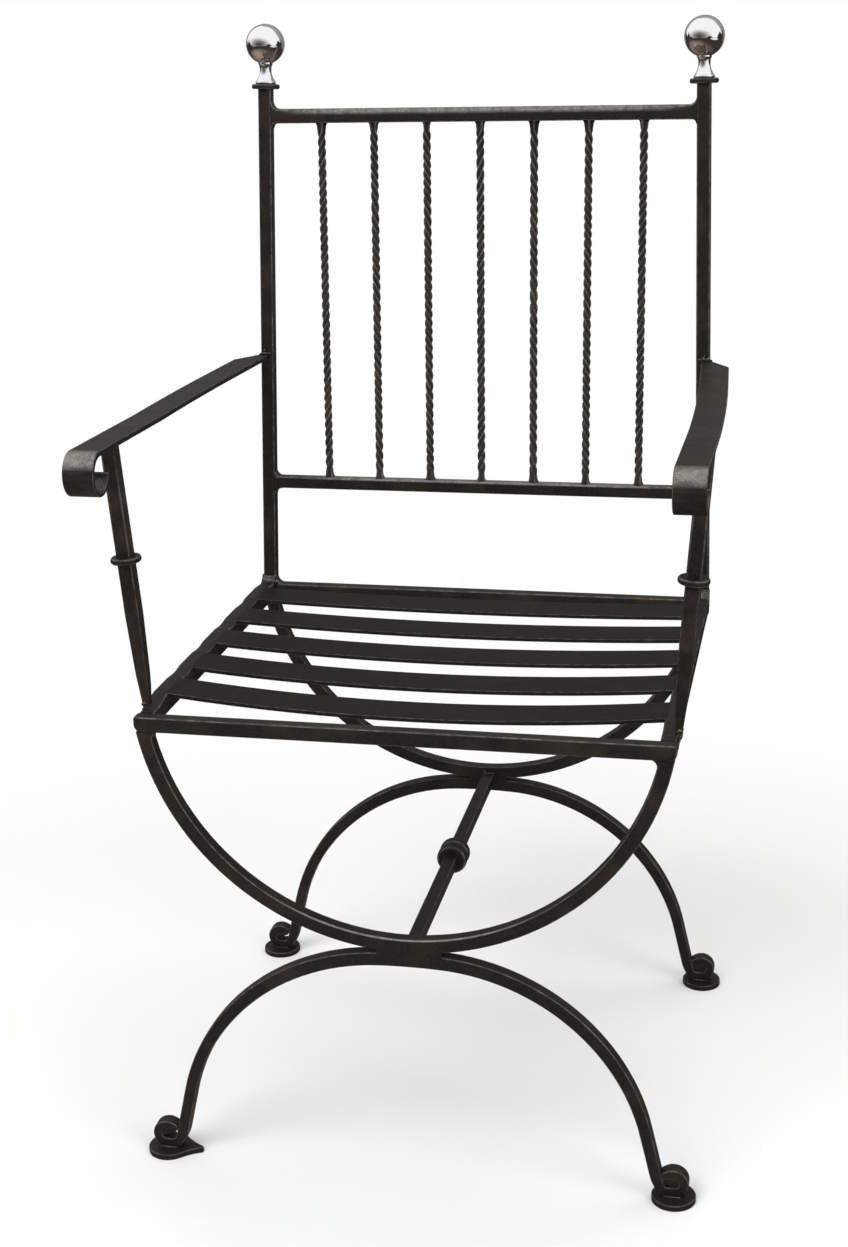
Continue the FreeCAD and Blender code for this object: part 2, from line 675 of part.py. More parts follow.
def arm_plan():
    """Plan of the right arm, parallel to the seat in front and drawn in towards the post behind."""
    bend = Vector(arm_outer_edge - ARM_BEND_RADIUS, -ARM_BEND_START, 0)
    turn = math.radians(ARM_BEND_ANGLE)
    behind = Vector(-math.sin(turn), math.cos(turn), 0)
    post_height = ARM_HEIGHT - SEAT_HEIGHT
    rear_end = post_centre(post_height)
    post_edge = post_inner_face(post_height) + POST_BAR - POST_ARRIS
    edges = []
    ends = []
    for radius in (ARM_BEND_RADIUS, ARM_BEND_RADIUS - ARM_WIDTH):
        straight = bend + Vector(radius, 0, 0)
        middle = bend + Vector(radius * math.cos(turn / 2), radius * math.sin(turn / 2), 0)
        bent = bend + Vector(radius * math.cos(turn), radius * math.sin(turn), 0)
        front = Vector(straight.x, -arm_reach - ARM_WIDTH, 0)
        edges += chain([front, straight])
        edges.append(Part.Arc(straight, middle, bent).toShape())
        ends.append((front, bent))
    outer_bent = ends[0][1]
    inner_bent = ends[1][1]
    clip = outer_bent + behind * ((-ARM_CLIP_START - outer_bent.y) / behind.y)
    rear = inner_bent + behind * ((rear_end - inner_bent.y) / behind.y)
    edges += chain([outer_bent, clip, Vector(post_edge, rear_end, 0), rear, inner_bent])
    edges += chain([ends[0][0], ends[1][0]])
    return Part.Face(joined_wire(edges))


def arm(post):
    """Right arm: a flat bar that ends in a forward scroll and meets the post's front."""
    face = Part.Face(joined_wire(arm_side_outline()))
    side = face.extrude(Vector(0, FAR, 0))
    side.rotate(Vector(0, 0, 0), UP, -90)
    plan = arm_plan().extrude(Vector(0, 0, FAR))
    bar = side.common(plan)
    rims = [edge for edge in bar.Edges if edge.BoundBox.YMax < -TINY and edge.BoundBox.YLength > TINY]
    return bar.makeFillet(ARM_ARRIS, rims).cut(post)


def tapered_support(side_rail, bar_above):
    """Right arm support, slimmer towards its foot, which laps the side rail's outer edge."""
    inside_arm = ARM_HEIGHT + ARM_RISE / 2 - ARM_THICKNESS / 2
    length = (inside_arm - SEAT_HEIGHT) / math.cos(math.radians(SUPPORT_LEAN))
    sections = (
        (-SUPPORT_FOOT_DROP - TRIM, SUPPORT_FOOT_SIZE),
        (0, SUPPORT_FOOT_SIZE),
        (SUPPORT_TAPER_LENGTH, SUPPORT_SIZE),
        (length, SUPPORT_SIZE),
    )
    wires = [rounded_square(size, size, size * SUPPORT_ARRIS_SHARE, z) for z, size in sections]
    bar = Part.makeLoft(wires, True, True)
    foot = without_below(on_support(bar), SEAT_HEIGHT - SUPPORT_FOOT_DROP)
    return foot.cut(side_rail).cut(bar_above)


def on_support(shape):
    """A part drawn on the Z axis from the seat's top, set on the right arm support's line."""
    placed = moved(shape, x=support_foot_position, y=-support_forward, z=SEAT_HEIGHT)
    foot = Vector(support_foot_position, -support_forward, SEAT_HEIGHT)
    placed.rotate(foot, BACKWARD, SUPPORT_LEAN)
    return placed


def collar(support):
    """Rounded ring round the right arm support."""
    ring = turned_ring(COLLAR_DIAMETER, COLLAR_THICKNESS, COLLAR_ROUNDING)
    placed = on_support(moved(ring, z=COLLAR_POSITION - COLLAR_THICKNESS / 2))
    return placed.cut(support)


def back_parts():
    """Posts, rails, spindles and finials of the leaning back."""
    plumb = [plumb_post(sign) for name, sign in SIDES]
    parts = {}
    for (name, sign), post in zip(SIDES, plumb):
        drilled = leaned_back(post.cut(plumb_stud_hole(sign)))
        parts["back_post_" + name] = without_below(drilled, seat_rail_underside)
    top_rail = back_rail(
        top_rail_position, TOP_RAIL_HEIGHT, TOP_RAIL_LOWER_WELD, TOP_RAIL_UPPER_WELD, plumb
    )
    lower_rail = back_rail(
        LOWER_RAIL_POSITION, LOWER_RAIL_HEIGHT, LOWER_RAIL_WELD, LOWER_RAIL_WELD, plumb
    )
    parts["back_top_rail"] = leaned_back(top_rail)
    parts["back_lower_rail"] = leaned_back(lower_rail)
    bar = twisted_spindle()
    for index in range(SPINDLE_COUNT):
        x = (index - (SPINDLE_COUNT - 1) / 2) * SPINDLE_PITCH
        placed = moved(bar, x=x, z=SEAT_HEIGHT + LOWER_RAIL_POSITION)
        parts["back_spindle_%d" % (index + 1)] = leaned_back(placed)
    for name, sign in SIDES:
        stack = (
            ("finial_stud_", stud(), POST_LENGTH - STUD_IN_POST),
            ("finial_washer_", washer(), POST_LENGTH),
            ("finial_ball_", finial(), POST_LENGTH + WASHER_THICKNESS),
        )
        for prefix, shape, height in stack:
            parts[prefix + name] = leaned_back(on_post(moved(shape, z=height), sign))
    return parts


def front_rail():
    """Front seat rail, whose lower corners are ground round to run on into the bow."""
    end = FRAME_SPACING / 2 + POST_BAR / 2 + FRONT_RAIL_OVERHANG
    top_centre = upright(end - FRONT_RAIL_TOP_CORNER, SEAT_HEIGHT - FRONT_RAIL_TOP_CORNER)
    low_centre = upright(end - FRONT_RAIL_LOWER_CORNER, seat_rail_underside + FRONT_RAIL_LOWER_CORNER)
    half = chain([upright(0, SEAT_HEIGHT), upright(top_centre.x, SEAT_HEIGHT)])
    half.append(circle_arc(top_centre, FRONT_RAIL_TOP_CORNER, QUARTER, 0))
    half += chain([upright(end, top_centre.z), upright(end, low_centre.z)])
    half.append(circle_arc(low_centre, FRONT_RAIL_LOWER_CORNER, 0, -QUARTER))
    half += chain([upright(low_centre.x, seat_rail_underside), upright(0, seat_rail_underside)])
    return rounded_plate(half + mirrored(half), SEAT_RAIL_DEPTH, SEAT_RAIL_ARRIS)


def seat_parts(posts):
    """Seat rails and slats."""
    middle = SEAT_HEIGHT - SEAT_RAIL_HEIGHT / 2
    parts = {"seat_front_rail": moved(front_rail(), y=-FRAME_DEPTH)}
    back = flared_rail(post_inner_face(0), seat_rail_underside, SEAT_HEIGHT, 0, SEAT_RAIL_WELD)
    for post in posts:
        back = back.cut(post)
    front_face = SEAT_RAIL_DEPTH / 2 - FRAME_DEPTH
    half_length = -front_face / 2
    for (name, sign), post in zip(SIDES, posts):
        bar = bar_along_y(POST_BAR, SEAT_RAIL_HEIGHT, SEAT_RAIL_ARRIS, half_length)
        placed = moved(bar, x=sign * FRAME_SPACING / 2, y=front_face + half_length, z=middle)
        side = placed.cut(post)
        parts["seat_side_rail_" + name] = side
        back = back.cut(side)
    parts["seat_back_rail"] = back
    for index in range(SLAT_COUNT):
        parts["seat_slat_%d" % (index + 1)] = slat(index)
    return parts


def leg_parts():
    """Front and rear leg frames, foot pads and the stretcher between them."""
    parts = {}
    pad_position = foot_centres()[-1].x
    frames = (
        ("front", FRONT_ARCH_SHIFT, -FRAME_DEPTH, JOINT_HALF_WIDTH_FRONT),
        ("rear", 0.0, 0.0, JOINT_HALF_WIDTH_REAR),
    )
    for place, x, y, half_width in frames:
        bow = upper_bow(y)
        arch = lower_arch(x, y)
        parts[place + "_leg_bow"] = bow
        parts[place + "_leg_arch"] = arch
        parts[place + "_leg_joint_weld"] = joint_weld(y, half_width, bow, arch)
        for name, sign in SIDES:
            disc = tailed_pad() if (place, name) == ("front", "left") else pad()
            parts["foot_pad_" + place + "_" + name] = moved(disc, x=x + sign * pad_position, y=y)
    bar = stretcher()
    parts["stretcher_bar"] = bar
    parts["stretcher_knob"] = knob(bar)
    return parts


def arm_parts(right_post, right_rail):
    """Arms with their supports and collars, the left ones as mirrors of the right ones."""
    right_arm = arm(right_post)
    right_support = tapered_support(right_rail, right_arm)
    right = {
        "arm_": right_arm,
        "arm_support_": right_support,
        "arm_support_collar_": collar(right_support),
    }
    parts = {}
    for prefix, shape in right.items():
        parts[prefix + "left"] = mirrored([shape])[0]
        parts[prefix + "right"] = shape
    return parts


def whole_chair():
    """Every piece of the chair by name, on the rear legs' plane."""
    parts = back_parts()
    posts = [parts["back_post_" + name] for name, sign in SIDES]
    parts.update(seat_parts(posts))
    parts.update(leg_parts())
    parts.update(arm_parts(posts[1], parts["seat_side_rail_right"]))
    return parts


def main():
    """Moves the chair onto its origin and writes one file for each piece."""
    os.makedirs("parts", exist_ok=True)
    parts = whole_chair()
    box = Part.makeCompound(list(parts.values())).optimalBoundingBox()
    shift = Vector(-box.Center.x, -box.Center.y, -box.ZMin)
    for name, shape in parts.items():
        shape.translated(shift).exportStep("parts/" + name + ".step")
    print("pieces", len(parts))
    print("width %.1f, depth %.1f, height %.1f" % (box.XLength, box.YLength, box.ZLength))
    print("rear leg plane at Y = %.3f" % shift.y)


main()
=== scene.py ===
# %% [markdown]
# A garden armchair of forged and welded steel bar, dressed for its portrait.
# The solid model comes in as a fixed frame: every bar, slat and pad is already in its place.
# This lesson adds what a smith's hands and a few summers outdoors add: a blackened, waxed skin,
# arrises rubbed back to grey metal, bars that were twisted hot, weld beads and spatter,
# and two polished balls.

# %% The frame
import math
import random

import bmesh
import bpy
from mathutils import Matrix, Vector, noise


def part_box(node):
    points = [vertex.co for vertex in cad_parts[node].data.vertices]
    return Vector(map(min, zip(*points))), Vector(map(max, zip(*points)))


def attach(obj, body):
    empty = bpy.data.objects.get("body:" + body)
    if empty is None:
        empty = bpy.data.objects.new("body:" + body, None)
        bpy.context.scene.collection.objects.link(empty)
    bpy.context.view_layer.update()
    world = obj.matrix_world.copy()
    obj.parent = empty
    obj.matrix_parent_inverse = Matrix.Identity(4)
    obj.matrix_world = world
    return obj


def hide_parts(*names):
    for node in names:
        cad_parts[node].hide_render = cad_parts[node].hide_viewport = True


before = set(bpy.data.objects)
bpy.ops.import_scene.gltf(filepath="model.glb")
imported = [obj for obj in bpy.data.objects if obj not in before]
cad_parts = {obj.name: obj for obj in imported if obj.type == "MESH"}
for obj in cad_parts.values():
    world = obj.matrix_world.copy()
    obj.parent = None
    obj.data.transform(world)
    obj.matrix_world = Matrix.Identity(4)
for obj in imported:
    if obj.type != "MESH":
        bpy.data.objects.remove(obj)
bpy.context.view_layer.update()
scene = bpy.context.scene

# %% [markdown]
# The camera stands a little to the right of the chair and looks down on it. Its place was found
# by matching straight edges of the chair with the picture, so its three axes are set directly:
# to the right, up, and back towards the eye. The lens is given for the frame's long side.

# %% The camera
CAMERA_PLACE = Vector((0.35497, -1.728244, 1.05092))
CAMERA_YAW = math.radians(12.183)
CAMERA_PITCH = math.radians(18.073)
CAMERA_ROLL = -0.02416
FOCAL_PIXELS = 1947.05
FRAME_LONG_SIDE = 1247
SENSOR = 36.0


def new_mesh(name, points, edges=(), faces=()):
    """A mesh of points with edges or faces between them."""
    mesh = bpy.data.meshes.new(name)
    mesh.from_pydata(points, edges, faces)
    return mesh


def new_object(name, data):
    """A new object in the scene for a mesh, a lamp or a camera."""
    made = bpy.data.objects.new(name, data)
    scene.collection.objects.link(made)
    return made


forward = Vector((
    -math.sin(CAMERA_YAW) * math.cos(CAMERA_PITCH),
    math.cos(CAMERA_YAW) * math.cos(CAMERA_PITCH),
    -math.sin(CAMERA_PITCH),
))
level = Vector((math.cos(CAMERA_YAW), math.sin(CAMERA_YAW), 0))
above = level.cross(forward)
right = level * math.cos(CAMERA_ROLL) + above * math.sin(CAMERA_ROLL)
up = above * math.cos(CAMERA_ROLL) - level * math.sin(CAMERA_ROLL)

lens = bpy.data.cameras.new("portrait_camera")
lens.sensor_fit = "AUTO"
lens.sensor_width = SENSOR
lens.lens = FOCAL_PIXELS / FRAME_LONG_SIDE * SENSOR
camera = new_object("portrait_camera", lens)
turn = Matrix((right, up, -forward)).transposed().to_4x4()
camera.matrix_world = Matrix.Translation(CAMERA_PLACE) @ turn
scene.camera = camera
print("lens %.2f mm" % lens.lens)

# %% [markdown]
# Colours are written as they look on a screen, in sRGB hex, and one function turns them into the
# linear numbers a shader wants. Another adds a node with its settings and its inputs, so that each
# material and each node tree below reads as a list of what it is made of.

# %% Small helpers for colours and nodes
FAMILIES = ("ShaderNode", "GeometryNode", "FunctionNode", "Node")


def linear(hex_colour):
    """Linear red, green, blue and alpha of an sRGB hex colour."""
    channels = [int(hex_colour[i:i + 2], 16) / 255 for i in (1, 3, 5)]
    lit = [c / 12.92 if c <= 0.04045 else ((c + 0.055) / 1.055) ** 2.4 for c in channels]
    return (*lit, 1.0)


def wire(tree, node, **inputs):
    """Gives a node its inputs: values, sockets to link, or nodes, whose first output in use is
    linked. An input goes by its name, with _ for a space, or by its number, as in i0."""
    for name, value in inputs.items():
        key = int(name[1:]) if name[0] == "i" and name[1:].isdigit() else name.replace("_", " ")
        if isinstance(value, bpy.types.Node):
            value = next(socket for socket in value.outputs if socket.enabled)
        if isinstance(value, bpy.types.NodeSocket):
            tree.links.new(value, node.inputs[key])
        else:
            node.inputs[key].default_value = value


def add(tree, kind, stops=(), **values):
    """Adds a node with its settings, which have small letters, and its inputs. Its kind leaves out
    the family. A colour ramp's stops are places, each with a colour or with a level of grey."""
    family = next(family for family in FAMILIES if hasattr(bpy.types, family + kind))
    node = tree.nodes.new(family + kind)
    for name in [name for name in values if hasattr(node, name)]:
        setattr(node, name, values.pop(name))
    if stops:
        elements = node.color_ramp.elements
        while len(elements) < len(stops):
            elements.new(0.5)
        for element, (position, colour) in zip(elements, stops):
            element.position = position
            element.color = colour if isinstance(colour, tuple) else (colour, colour, colour, 1.0)
    wire(tree, node, **values)
    return node


def times(tree, *factors):
    """The product of several numbers, as a chain of multiplications."""
    product = factors[0]
    for factor in factors[1:]:
        product = add(tree, "Math", operation="MULTIPLY", i0=product, i1=factor)
    return product


def new_material(name, kind="BsdfPrincipled"):
    """A material with one shader wired to its output: with it come its node tree, the shader and
    the place of each point on the piece."""
    material = bpy.data.materials.new(name)
    material.use_nodes = True
    tree = material.node_tree
    tree.nodes.clear()
    shader = add(tree, kind)
    add(tree, "OutputMaterial", Surface=shader)
    return material, tree, shader, add(tree, "TexCoord").outputs["Object"]


# %% [markdown]
# Forged mild steel, blackened and waxed. Hot rolling leaves a tight dark oxide, the hammer leaves
# shallow dents about a centimetre across, and the oil blackening settles in them in brownish
# clouds. The oxide is no metal to the eye, only a dark skin with a dull shine. Rubbing takes it
# off the arrises first, and there grey metal shows in thin broken lines.

# %% The oxide skin
MM = 0.001
OXIDE_DARK = linear("#161412")
OXIDE_GREY = linear("#24221f")
RUST_BROWN = linear("#342a20")
BARE_AND_HIGHLIT_METAL = linear("#a8a49e")
HAMMER_DENT = 11 * MM
DENT_DEPTH = 0.7 * MM
ORANGE_PEEL = 1.6 * MM
PEEL_DEPTH = 0.2 * MM
CLOUD = 38 * MM
OXIDE_ROUGHNESS = 0.44
BARE_ROUGHNESS = 0.34
WAX_SHINE = 0.30


def steel_skin(tree, shader, wear_and_highlight, place, browning=0.5, stretch=(1, 1, 1), shine=WAX_SHINE):
    """Wires an oxide skin that gives way to bare metal where the mask of wear and painted highlight says so.
    Stretch below 1 along an axis draws the fine grain out into lines that way."""
    drawn = add(tree, "VectorMath", operation="MULTIPLY", i0=place, i1=stretch)
    clouds = add(tree, "TexNoise", Vector=place, Scale=1 / CLOUD, Detail=3.0, Roughness=0.6)
    grain = add(tree, "TexNoise", Vector=drawn, Scale=1 / ORANGE_PEEL, Detail=2.0, Roughness=0.6)
    dents = add(tree, "TexNoise", Vector=place, Scale=1 / HAMMER_DENT, Detail=1.5, Roughness=0.5)
    speckle = add(tree, "ValToRGB", [(0.36, 0), (0.70, 1)], Fac=grain)
    oxide = add(tree, "Mix", data_type="RGBA", i0=speckle, i6=OXIDE_DARK, i7=OXIDE_GREY)
    browned = add(tree, "ValToRGB", [(0.48, 0), (0.70, browning)], Fac=clouds)
    skin = add(tree, "Mix", data_type="RGBA", i0=browned, i6=oxide, i7=RUST_BROWN)
    # Bare metal shows where the mask says: worn arrises, and on some sides a painted highlight too.
    colour = add(tree, "Mix", data_type="RGBA", i0=wear_and_highlight, i6=skin, i7=BARE_AND_HIGHLIT_METAL)
    rough = add(tree, "MapRange", Value=wear_and_highlight, To_Min=OXIDE_ROUGHNESS, To_Max=BARE_ROUGHNESS)
    peel = add(tree, "Bump", Height=grain, Strength=0.4, Distance=PEEL_DEPTH)
    hammered = add(tree, "Bump", Height=dents, Normal=peel, Strength=0.6, Distance=DENT_DEPTH)
    wire(tree, shader, Specular_IOR_Level=shine, Base_Color=colour)
    wire(tree, shader, Metallic=wear_and_highlight, Roughness=rough, Normal=hammered)


# %% [markdown]
# An arris is found from the surface's own direction: on a bar whose faces look along or across
# one axis, the rounded edge between them is where the direction is partly along that axis. A
# second mask, found in the same way, makes one side of a bar brighter still: partly the rubbing of
# hands and heels, partly a painted highlight. It breaks up into flecks and fades out towards the ends of the
# bar.

# %% Rubbed arrises, and rubbed sides with a painted highlight
RUBBED_PATCH = 9 * MM
SPARKLE = 1.1 * MM
ARRIS_BAND = [(0.42, 0), (0.60, 1), (0.76, 1), (0.90, 0)]


def rubbed_and_highlit_side(tree, place, facing, patches, side, reach, strength, fade):
    """How bright a face that looks to a side is made, with rubbed metal and a painted highlight. Reach
    is how nearly it looks that way, and fade how far from the chair's middle it is, each where the
    brightening starts or ends."""
    towards = add(tree, "VectorMath", operation="DOT_PRODUCT", i0=facing, i1=side)
    held = add(tree, "MapRange", Value=towards, From_Min=reach[0], From_Max=reach[1])
    sparkle = add(tree, "TexNoise", Vector=place, Scale=1 / SPARKLE, Detail=3.0, Roughness=0.8)
    flecks = add(tree, "ValToRGB", [(0.38, 0.35), (0.60, 1)], Fac=sparkle)
    swept = add(tree, "ValToRGB", [(0.36, 0.45), (0.58, 1)], Fac=patches)
    across = add(tree, "Math", operation="ABSOLUTE", i0=add(tree, "SeparateXYZ", Vector=place))
    reached = add(tree, "MapRange", Value=across, From_Min=fade[1], From_Max=fade[0])
    return times(tree, held, flecks, swept, reached, strength)


def forged_steel(name, axis, arris, browning, rub_and_highlight=None, stretch=(1, 1, 1), shine=WAX_SHINE):
    """Blackened forged bar, whose arrises lie between faces along and across an axis.
    A table of side settings, if given, holds what the side mask asks for, on a bar with one side that is
    rubbed bright and painted with a highlight."""
    material, tree, shader, place = new_material(name)
    facing = add(tree, "NewGeometry").outputs["Normal"]
    along = add(tree, "VectorMath", operation="DOT_PRODUCT", i0=facing, i1=axis)
    turned = add(tree, "Math", operation="ABSOLUTE", i0=along)
    edges = add(tree, "ValToRGB", ARRIS_BAND, Fac=turned)
    patches = add(tree, "TexNoise", Vector=place, Scale=1 / RUBBED_PATCH, Detail=3.0, Roughness=0.7)
    rubbed = add(tree, "ValToRGB", [(0.42, 0.2), (0.62, 1)], Fac=patches)
    wear_and_highlight = times(tree, edges, rubbed, arris)
    # Some bars also get one side made bright: rubbed metal and a painted highlight in one mask.
    if rub_and_highlight:
        rubbed_and_highlit = rubbed_and_highlit_side(tree, place, facing, patches, **rub_and_highlight)
        wear_and_highlight = add(tree, "Math", operation="MAXIMUM", i0=wear_and_highlight, i1=rubbed_and_highlit)
    steel_skin(tree, shader, wear_and_highlight, place, browning, stretch, shine)
    return material


# %% [markdown]
# Every bar takes one of these steels. The slats were painted with oil over and over, and dust has
# dulled it, so they shine least. The arm supports were heated once more, to be drawn out, so they
# are brownest. On the arms the fine grain is drawn out across the bar.

# %% The steels of the bars
ALONG_X, ALONG_Y, ALONG_Z = (1, 0, 0), (0, 1, 0), (0, 0, 1)
DULL_SHINE = 0.10

steel_upright = forged_steel("blackened_forged_bar", ALONG_Y, arris=0.32, browning=0.6)
steel_drawn = forged_steel("blackened_drawn_bar", ALONG_Y, arris=0.14, browning=0.95)
steel_level = forged_steel("blackened_forged_flat", ALONG_Z, arris=0.30, browning=0.12)
steel_dull = forged_steel("blackened_forged_slat", ALONG_Z, arris=0.30, browning=0.12, shine=DULL_SHINE)
# The arms, the front bow and the back rails have their upper front sides made bright: rubbed metal and a
# painted highlight.
steel_arm = forged_steel(
    "blackened_forged_arm", ALONG_X, arris=0.35, browning=0.3, stretch=(0.12, 0.7, 0.7),
    rub_and_highlight={"side": (0.0, -0.59, 0.81), "reach": (0.81, 0.99), "strength": 0.85, "fade": (0.5, 0.6)},
)
steel_trodden_highlit = forged_steel(
    "heel_rubbed_highlit_bow", ALONG_Y, arris=0.32, browning=0.6,
    rub_and_highlight={"side": (0.0, -0.66, 0.75), "reach": (0.80, 0.95), "strength": 0.9, "fade": (0.07, 0.16)},
)
steel_handled_highlit = forged_steel(
    "hand_rubbed_highlit_rail", ALONG_Y, arris=0.55, browning=0.4,
    rub_and_highlight={"side": (0.0, -0.55, 0.84), "reach": (0.60, 0.85), "strength": 0.7, "fade": (0.15, 0.205)},
)
print("materials", len(bpy.data.materials))

# %% [markdown]
# Spatter and the open weld lumps were never blackened all through: they are rough, and their
# upper sides are bare metal, partly rubbed and partly a painted highlight from above.

# %% Spatter steel
steel_spatter, tree, shader, place = new_material("bright_weld_spatter")
facing = add(tree, "NewGeometry").outputs["Normal"]
upward = add(tree, "SeparateXYZ", Vector=facing).outputs["Z"]
# Upward faces turn to bare metal: partly rubbing, partly a painted highlight from above.
wear_and_highlight = add(tree, "ValToRGB", [(0.0, 0.25), (0.7, 0.9)], Fac=upward)
steel_skin(tree, shader, wear_and_highlight, place)
print("material", steel_spatter.name)

# %% [markdown]
# A twisted bar shows its four arrises as steep stripes. Nothing in its direction tells an arris
# from a face there, so the node tree that makes the bar writes a number on it, called arris,
# which is 1 on the edges and 0 in the middle of the faces. The material reads it.

# %% Twisted steel
TWISTED_PATCH = 6 * MM
steel_twisted, tree, shader, place = new_material("blackened_twisted_bar")
edge = add(tree, "Attribute", attribute_name="arris").outputs["Fac"]
patches = add(tree, "TexNoise", Vector=place, Scale=1 / TWISTED_PATCH, Detail=2.0)
broken = add(tree, "ValToRGB", [(0.40, 0.08), (0.65, 0.34)], Fac=patches)
steel_skin(tree, shader, times(tree, edge, broken), place)
print("material", steel_twisted.name)

# %% [markdown]
# The balls are turned steel, chromium plated and buffed. Chromium is a slightly bluish mirror with
# almost no roughness. A faint haze and a few specks of weather keep it from looking like a
# computer's mirror.

# %% Polished chromium
BUFFING_HAZE = 9 * MM
WEATHER_SPECK = 0.9 * MM
chrome, tree, shader, place = new_material("polished_chromium_plate")
haze = add(tree, "TexNoise", Vector=place, Scale=1 / BUFFING_HAZE, Detail=1.0)
smear = add(tree, "MapRange", Value=haze, To_Min=0.04, To_Max=0.09)
specks = add(tree, "TexNoise", Vector=place, Scale=1 / WEATHER_SPECK, Detail=1.0)
spotted = add(tree, "ValToRGB", [(0.72, linear("#f3f3f4")), (0.80, linear("#9b9895"))], Fac=specks)
wire(tree, shader, Base_Color=spotted, Roughness=smear, Metallic=1.0)
print("material", chrome.name)

# %% [markdown]
# The carried-over nodes already have the right shape and smooth normals, so they only get their
# metal. Which of the steels a node takes depends on the way its bar runs. The two rails of the
# back, which every hand takes hold of, are brightest, then the curls of the arms and the bottom of
# the front bow, where heels rest: on their upper front sides rubbed metal and a painted highlight are one
# mask.

# %% Metal for the nodes
METALS = (
    ("finial_ball", chrome),
    (("arm_left", "arm_right"), steel_arm),
    (("back_top_rail", "back_lower_rail"), steel_handled_highlit),
    ("seat_slat", steel_dull),
    ("front_leg_bow", steel_trodden_highlit),
    (("seat_side", "stretcher_bar", "foot_pad", "arm_support_collar", "finial_washer"), steel_level),
    ("", steel_upright),
)

for name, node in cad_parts.items():
    metal = next(metal for starts, metal in METALS if name.startswith(starts))
    for slot in node.material_slots:
        slot.material = metal
print("metal on", len(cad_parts), "nodes")

# %% [markdown]
# Each bar of the back is a thin square bar that was heated and twisted, one end in a vice and the
# other in a wrench. No two came out alike: some turn to the left, some to the right, and some are
# wound a little tighter. Such a bar follows a rule, so a node tree makes it, and its inputs are the
# sizes a smith would be told. These helpers start a tree, measure along its path, end it, and run
# it and keep the result as a plain mesh.

# %% Helpers for trees that follow a path


def tree_with_inputs(name, *sizes):
    """A node tree with a path, a steel and named sizes as its inputs, and the sockets of these."""
    tree = bpy.data.node_groups.new(name, "GeometryNodeTree")
    for label, kind in (("Path", "Geometry"), ("Steel", "Material"), *((size, "Float") for size in sizes)):
        tree.interface.new_socket(label, in_out="INPUT", socket_type="NodeSocket" + kind)
    tree.interface.new_socket("Metal", in_out="OUTPUT", socket_type="NodeSocketGeometry")
    return tree, add(tree, "GroupInput").outputs


def along_path(tree, path, step):
    """The path in even steps, its length, and how far each point is from the path's start and from
    its nearer end."""
    line = add(tree, "MeshToCurve", Mesh=path)
    line = add(tree, "ResampleCurve", mode="LENGTH", Curve=line, Length=step)
    reach = add(tree, "SplineParameter").outputs["Length"]
    whole = add(tree, "SplineLength")
    rest = add(tree, "Math", operation="SUBTRACT", i0=whole, i1=reach)
    return line, whole, reach, add(tree, "Math", operation="MINIMUM", i0=reach, i1=rest)


def end_in_steel(tree, made, steel):
    """Ends a tree: smooth faces, real geometry in place of instances, and a metal."""
    made = add(tree, "SetShadeSmooth", Geometry=made)
    made = add(tree, "RealizeInstances", Geometry=made)
    made = add(tree, "SetMaterial", Geometry=made, Material=steel)
    add(tree, "GroupOutput", i0=made)
    print("tree", tree.name, "has", len(tree.nodes), "nodes")


def grow(name, tree_name, points, edges, sizes, numbers=()):
    """Runs a tree along a path of points and returns what it makes as a plain mesh piece.
    Numbers are lists with one value for each point, by the name that the tree reads them under."""
    path = new_mesh(name + "_path", points, edges)
    for label, values in dict(numbers).items():
        path.attributes.new(label, "FLOAT", "POINT").data.foreach_set("value", values)
    seedling = new_object(name + "_seedling", path)
    growth = seedling.modifiers.new("growth", "NODES")
    growth.node_group = bpy.data.node_groups[tree_name]
    for item in growth.node_group.interface.items_tree:
        if item.in_out == "INPUT" and item.name in sizes:
            growth[item.identifier] = sizes[item.name]
    bpy.context.view_layer.update()
    grown = seedling.evaluated_get(bpy.context.evaluated_depsgraph_get())
    mesh = bpy.data.meshes.new_from_object(grown)
    seedling.modifiers.remove(growth)
    bpy.data.objects.remove(seedling)
    return new_object(name, mesh)


# %% [markdown]
# The bar is a square with rounded corners that is swept along a straight line and turned as it
# goes. The turn at each point is the share of the way times the number of turns, with a slow noise
# on top, because the hottest stretch of a bar twists first and most.

# %% Twisting
TWIST_STEP = 1.6 * MM
tree, given = tree_with_inputs(
    "twisted_square_bar", "Bar Size", "Arris Radius", "Turns", "Unevenness", "Weld Length", "Weld Fill",
    "Cone Length", "Cone Flare", "Seed",
)
line, whole, reach, to_end = along_path(tree, given["Path"], TWIST_STEP)
far_stop = add(tree, "Math", operation="SUBTRACT", i0=whole, i1=given["Weld Length"])
share = add(tree, "MapRange", Value=reach, From_Min=given["Weld Length"], From_Max=far_stop)
where = add(tree, "CombineXYZ", X=share, Y=given["Seed"])
wander = add(tree, "TexNoise", noise_dimensions="2D", Vector=where, Scale=4.0, Detail=1.0)
wander = add(tree, "Math", operation="SUBTRACT", i0=wander, i1=0.5)
wander = times(tree, wander, given["Unevenness"])
angle = add(tree, "Math", operation="MULTIPLY_ADD", i0=share, i1=given["Turns"], i2=wander)
line = add(tree, "SetCurveTilt", Curve=line, Tilt=times(tree, angle, 2 * math.pi))
print("tree", tree.name, "has", len(tree.nodes), "nodes so far")

# %% [markdown]
# The two ends stay untwisted, where the weld filled the hollows, and open into a small cone on
# the rail. So the square grows towards the ends, first by the fill and then by the flare.

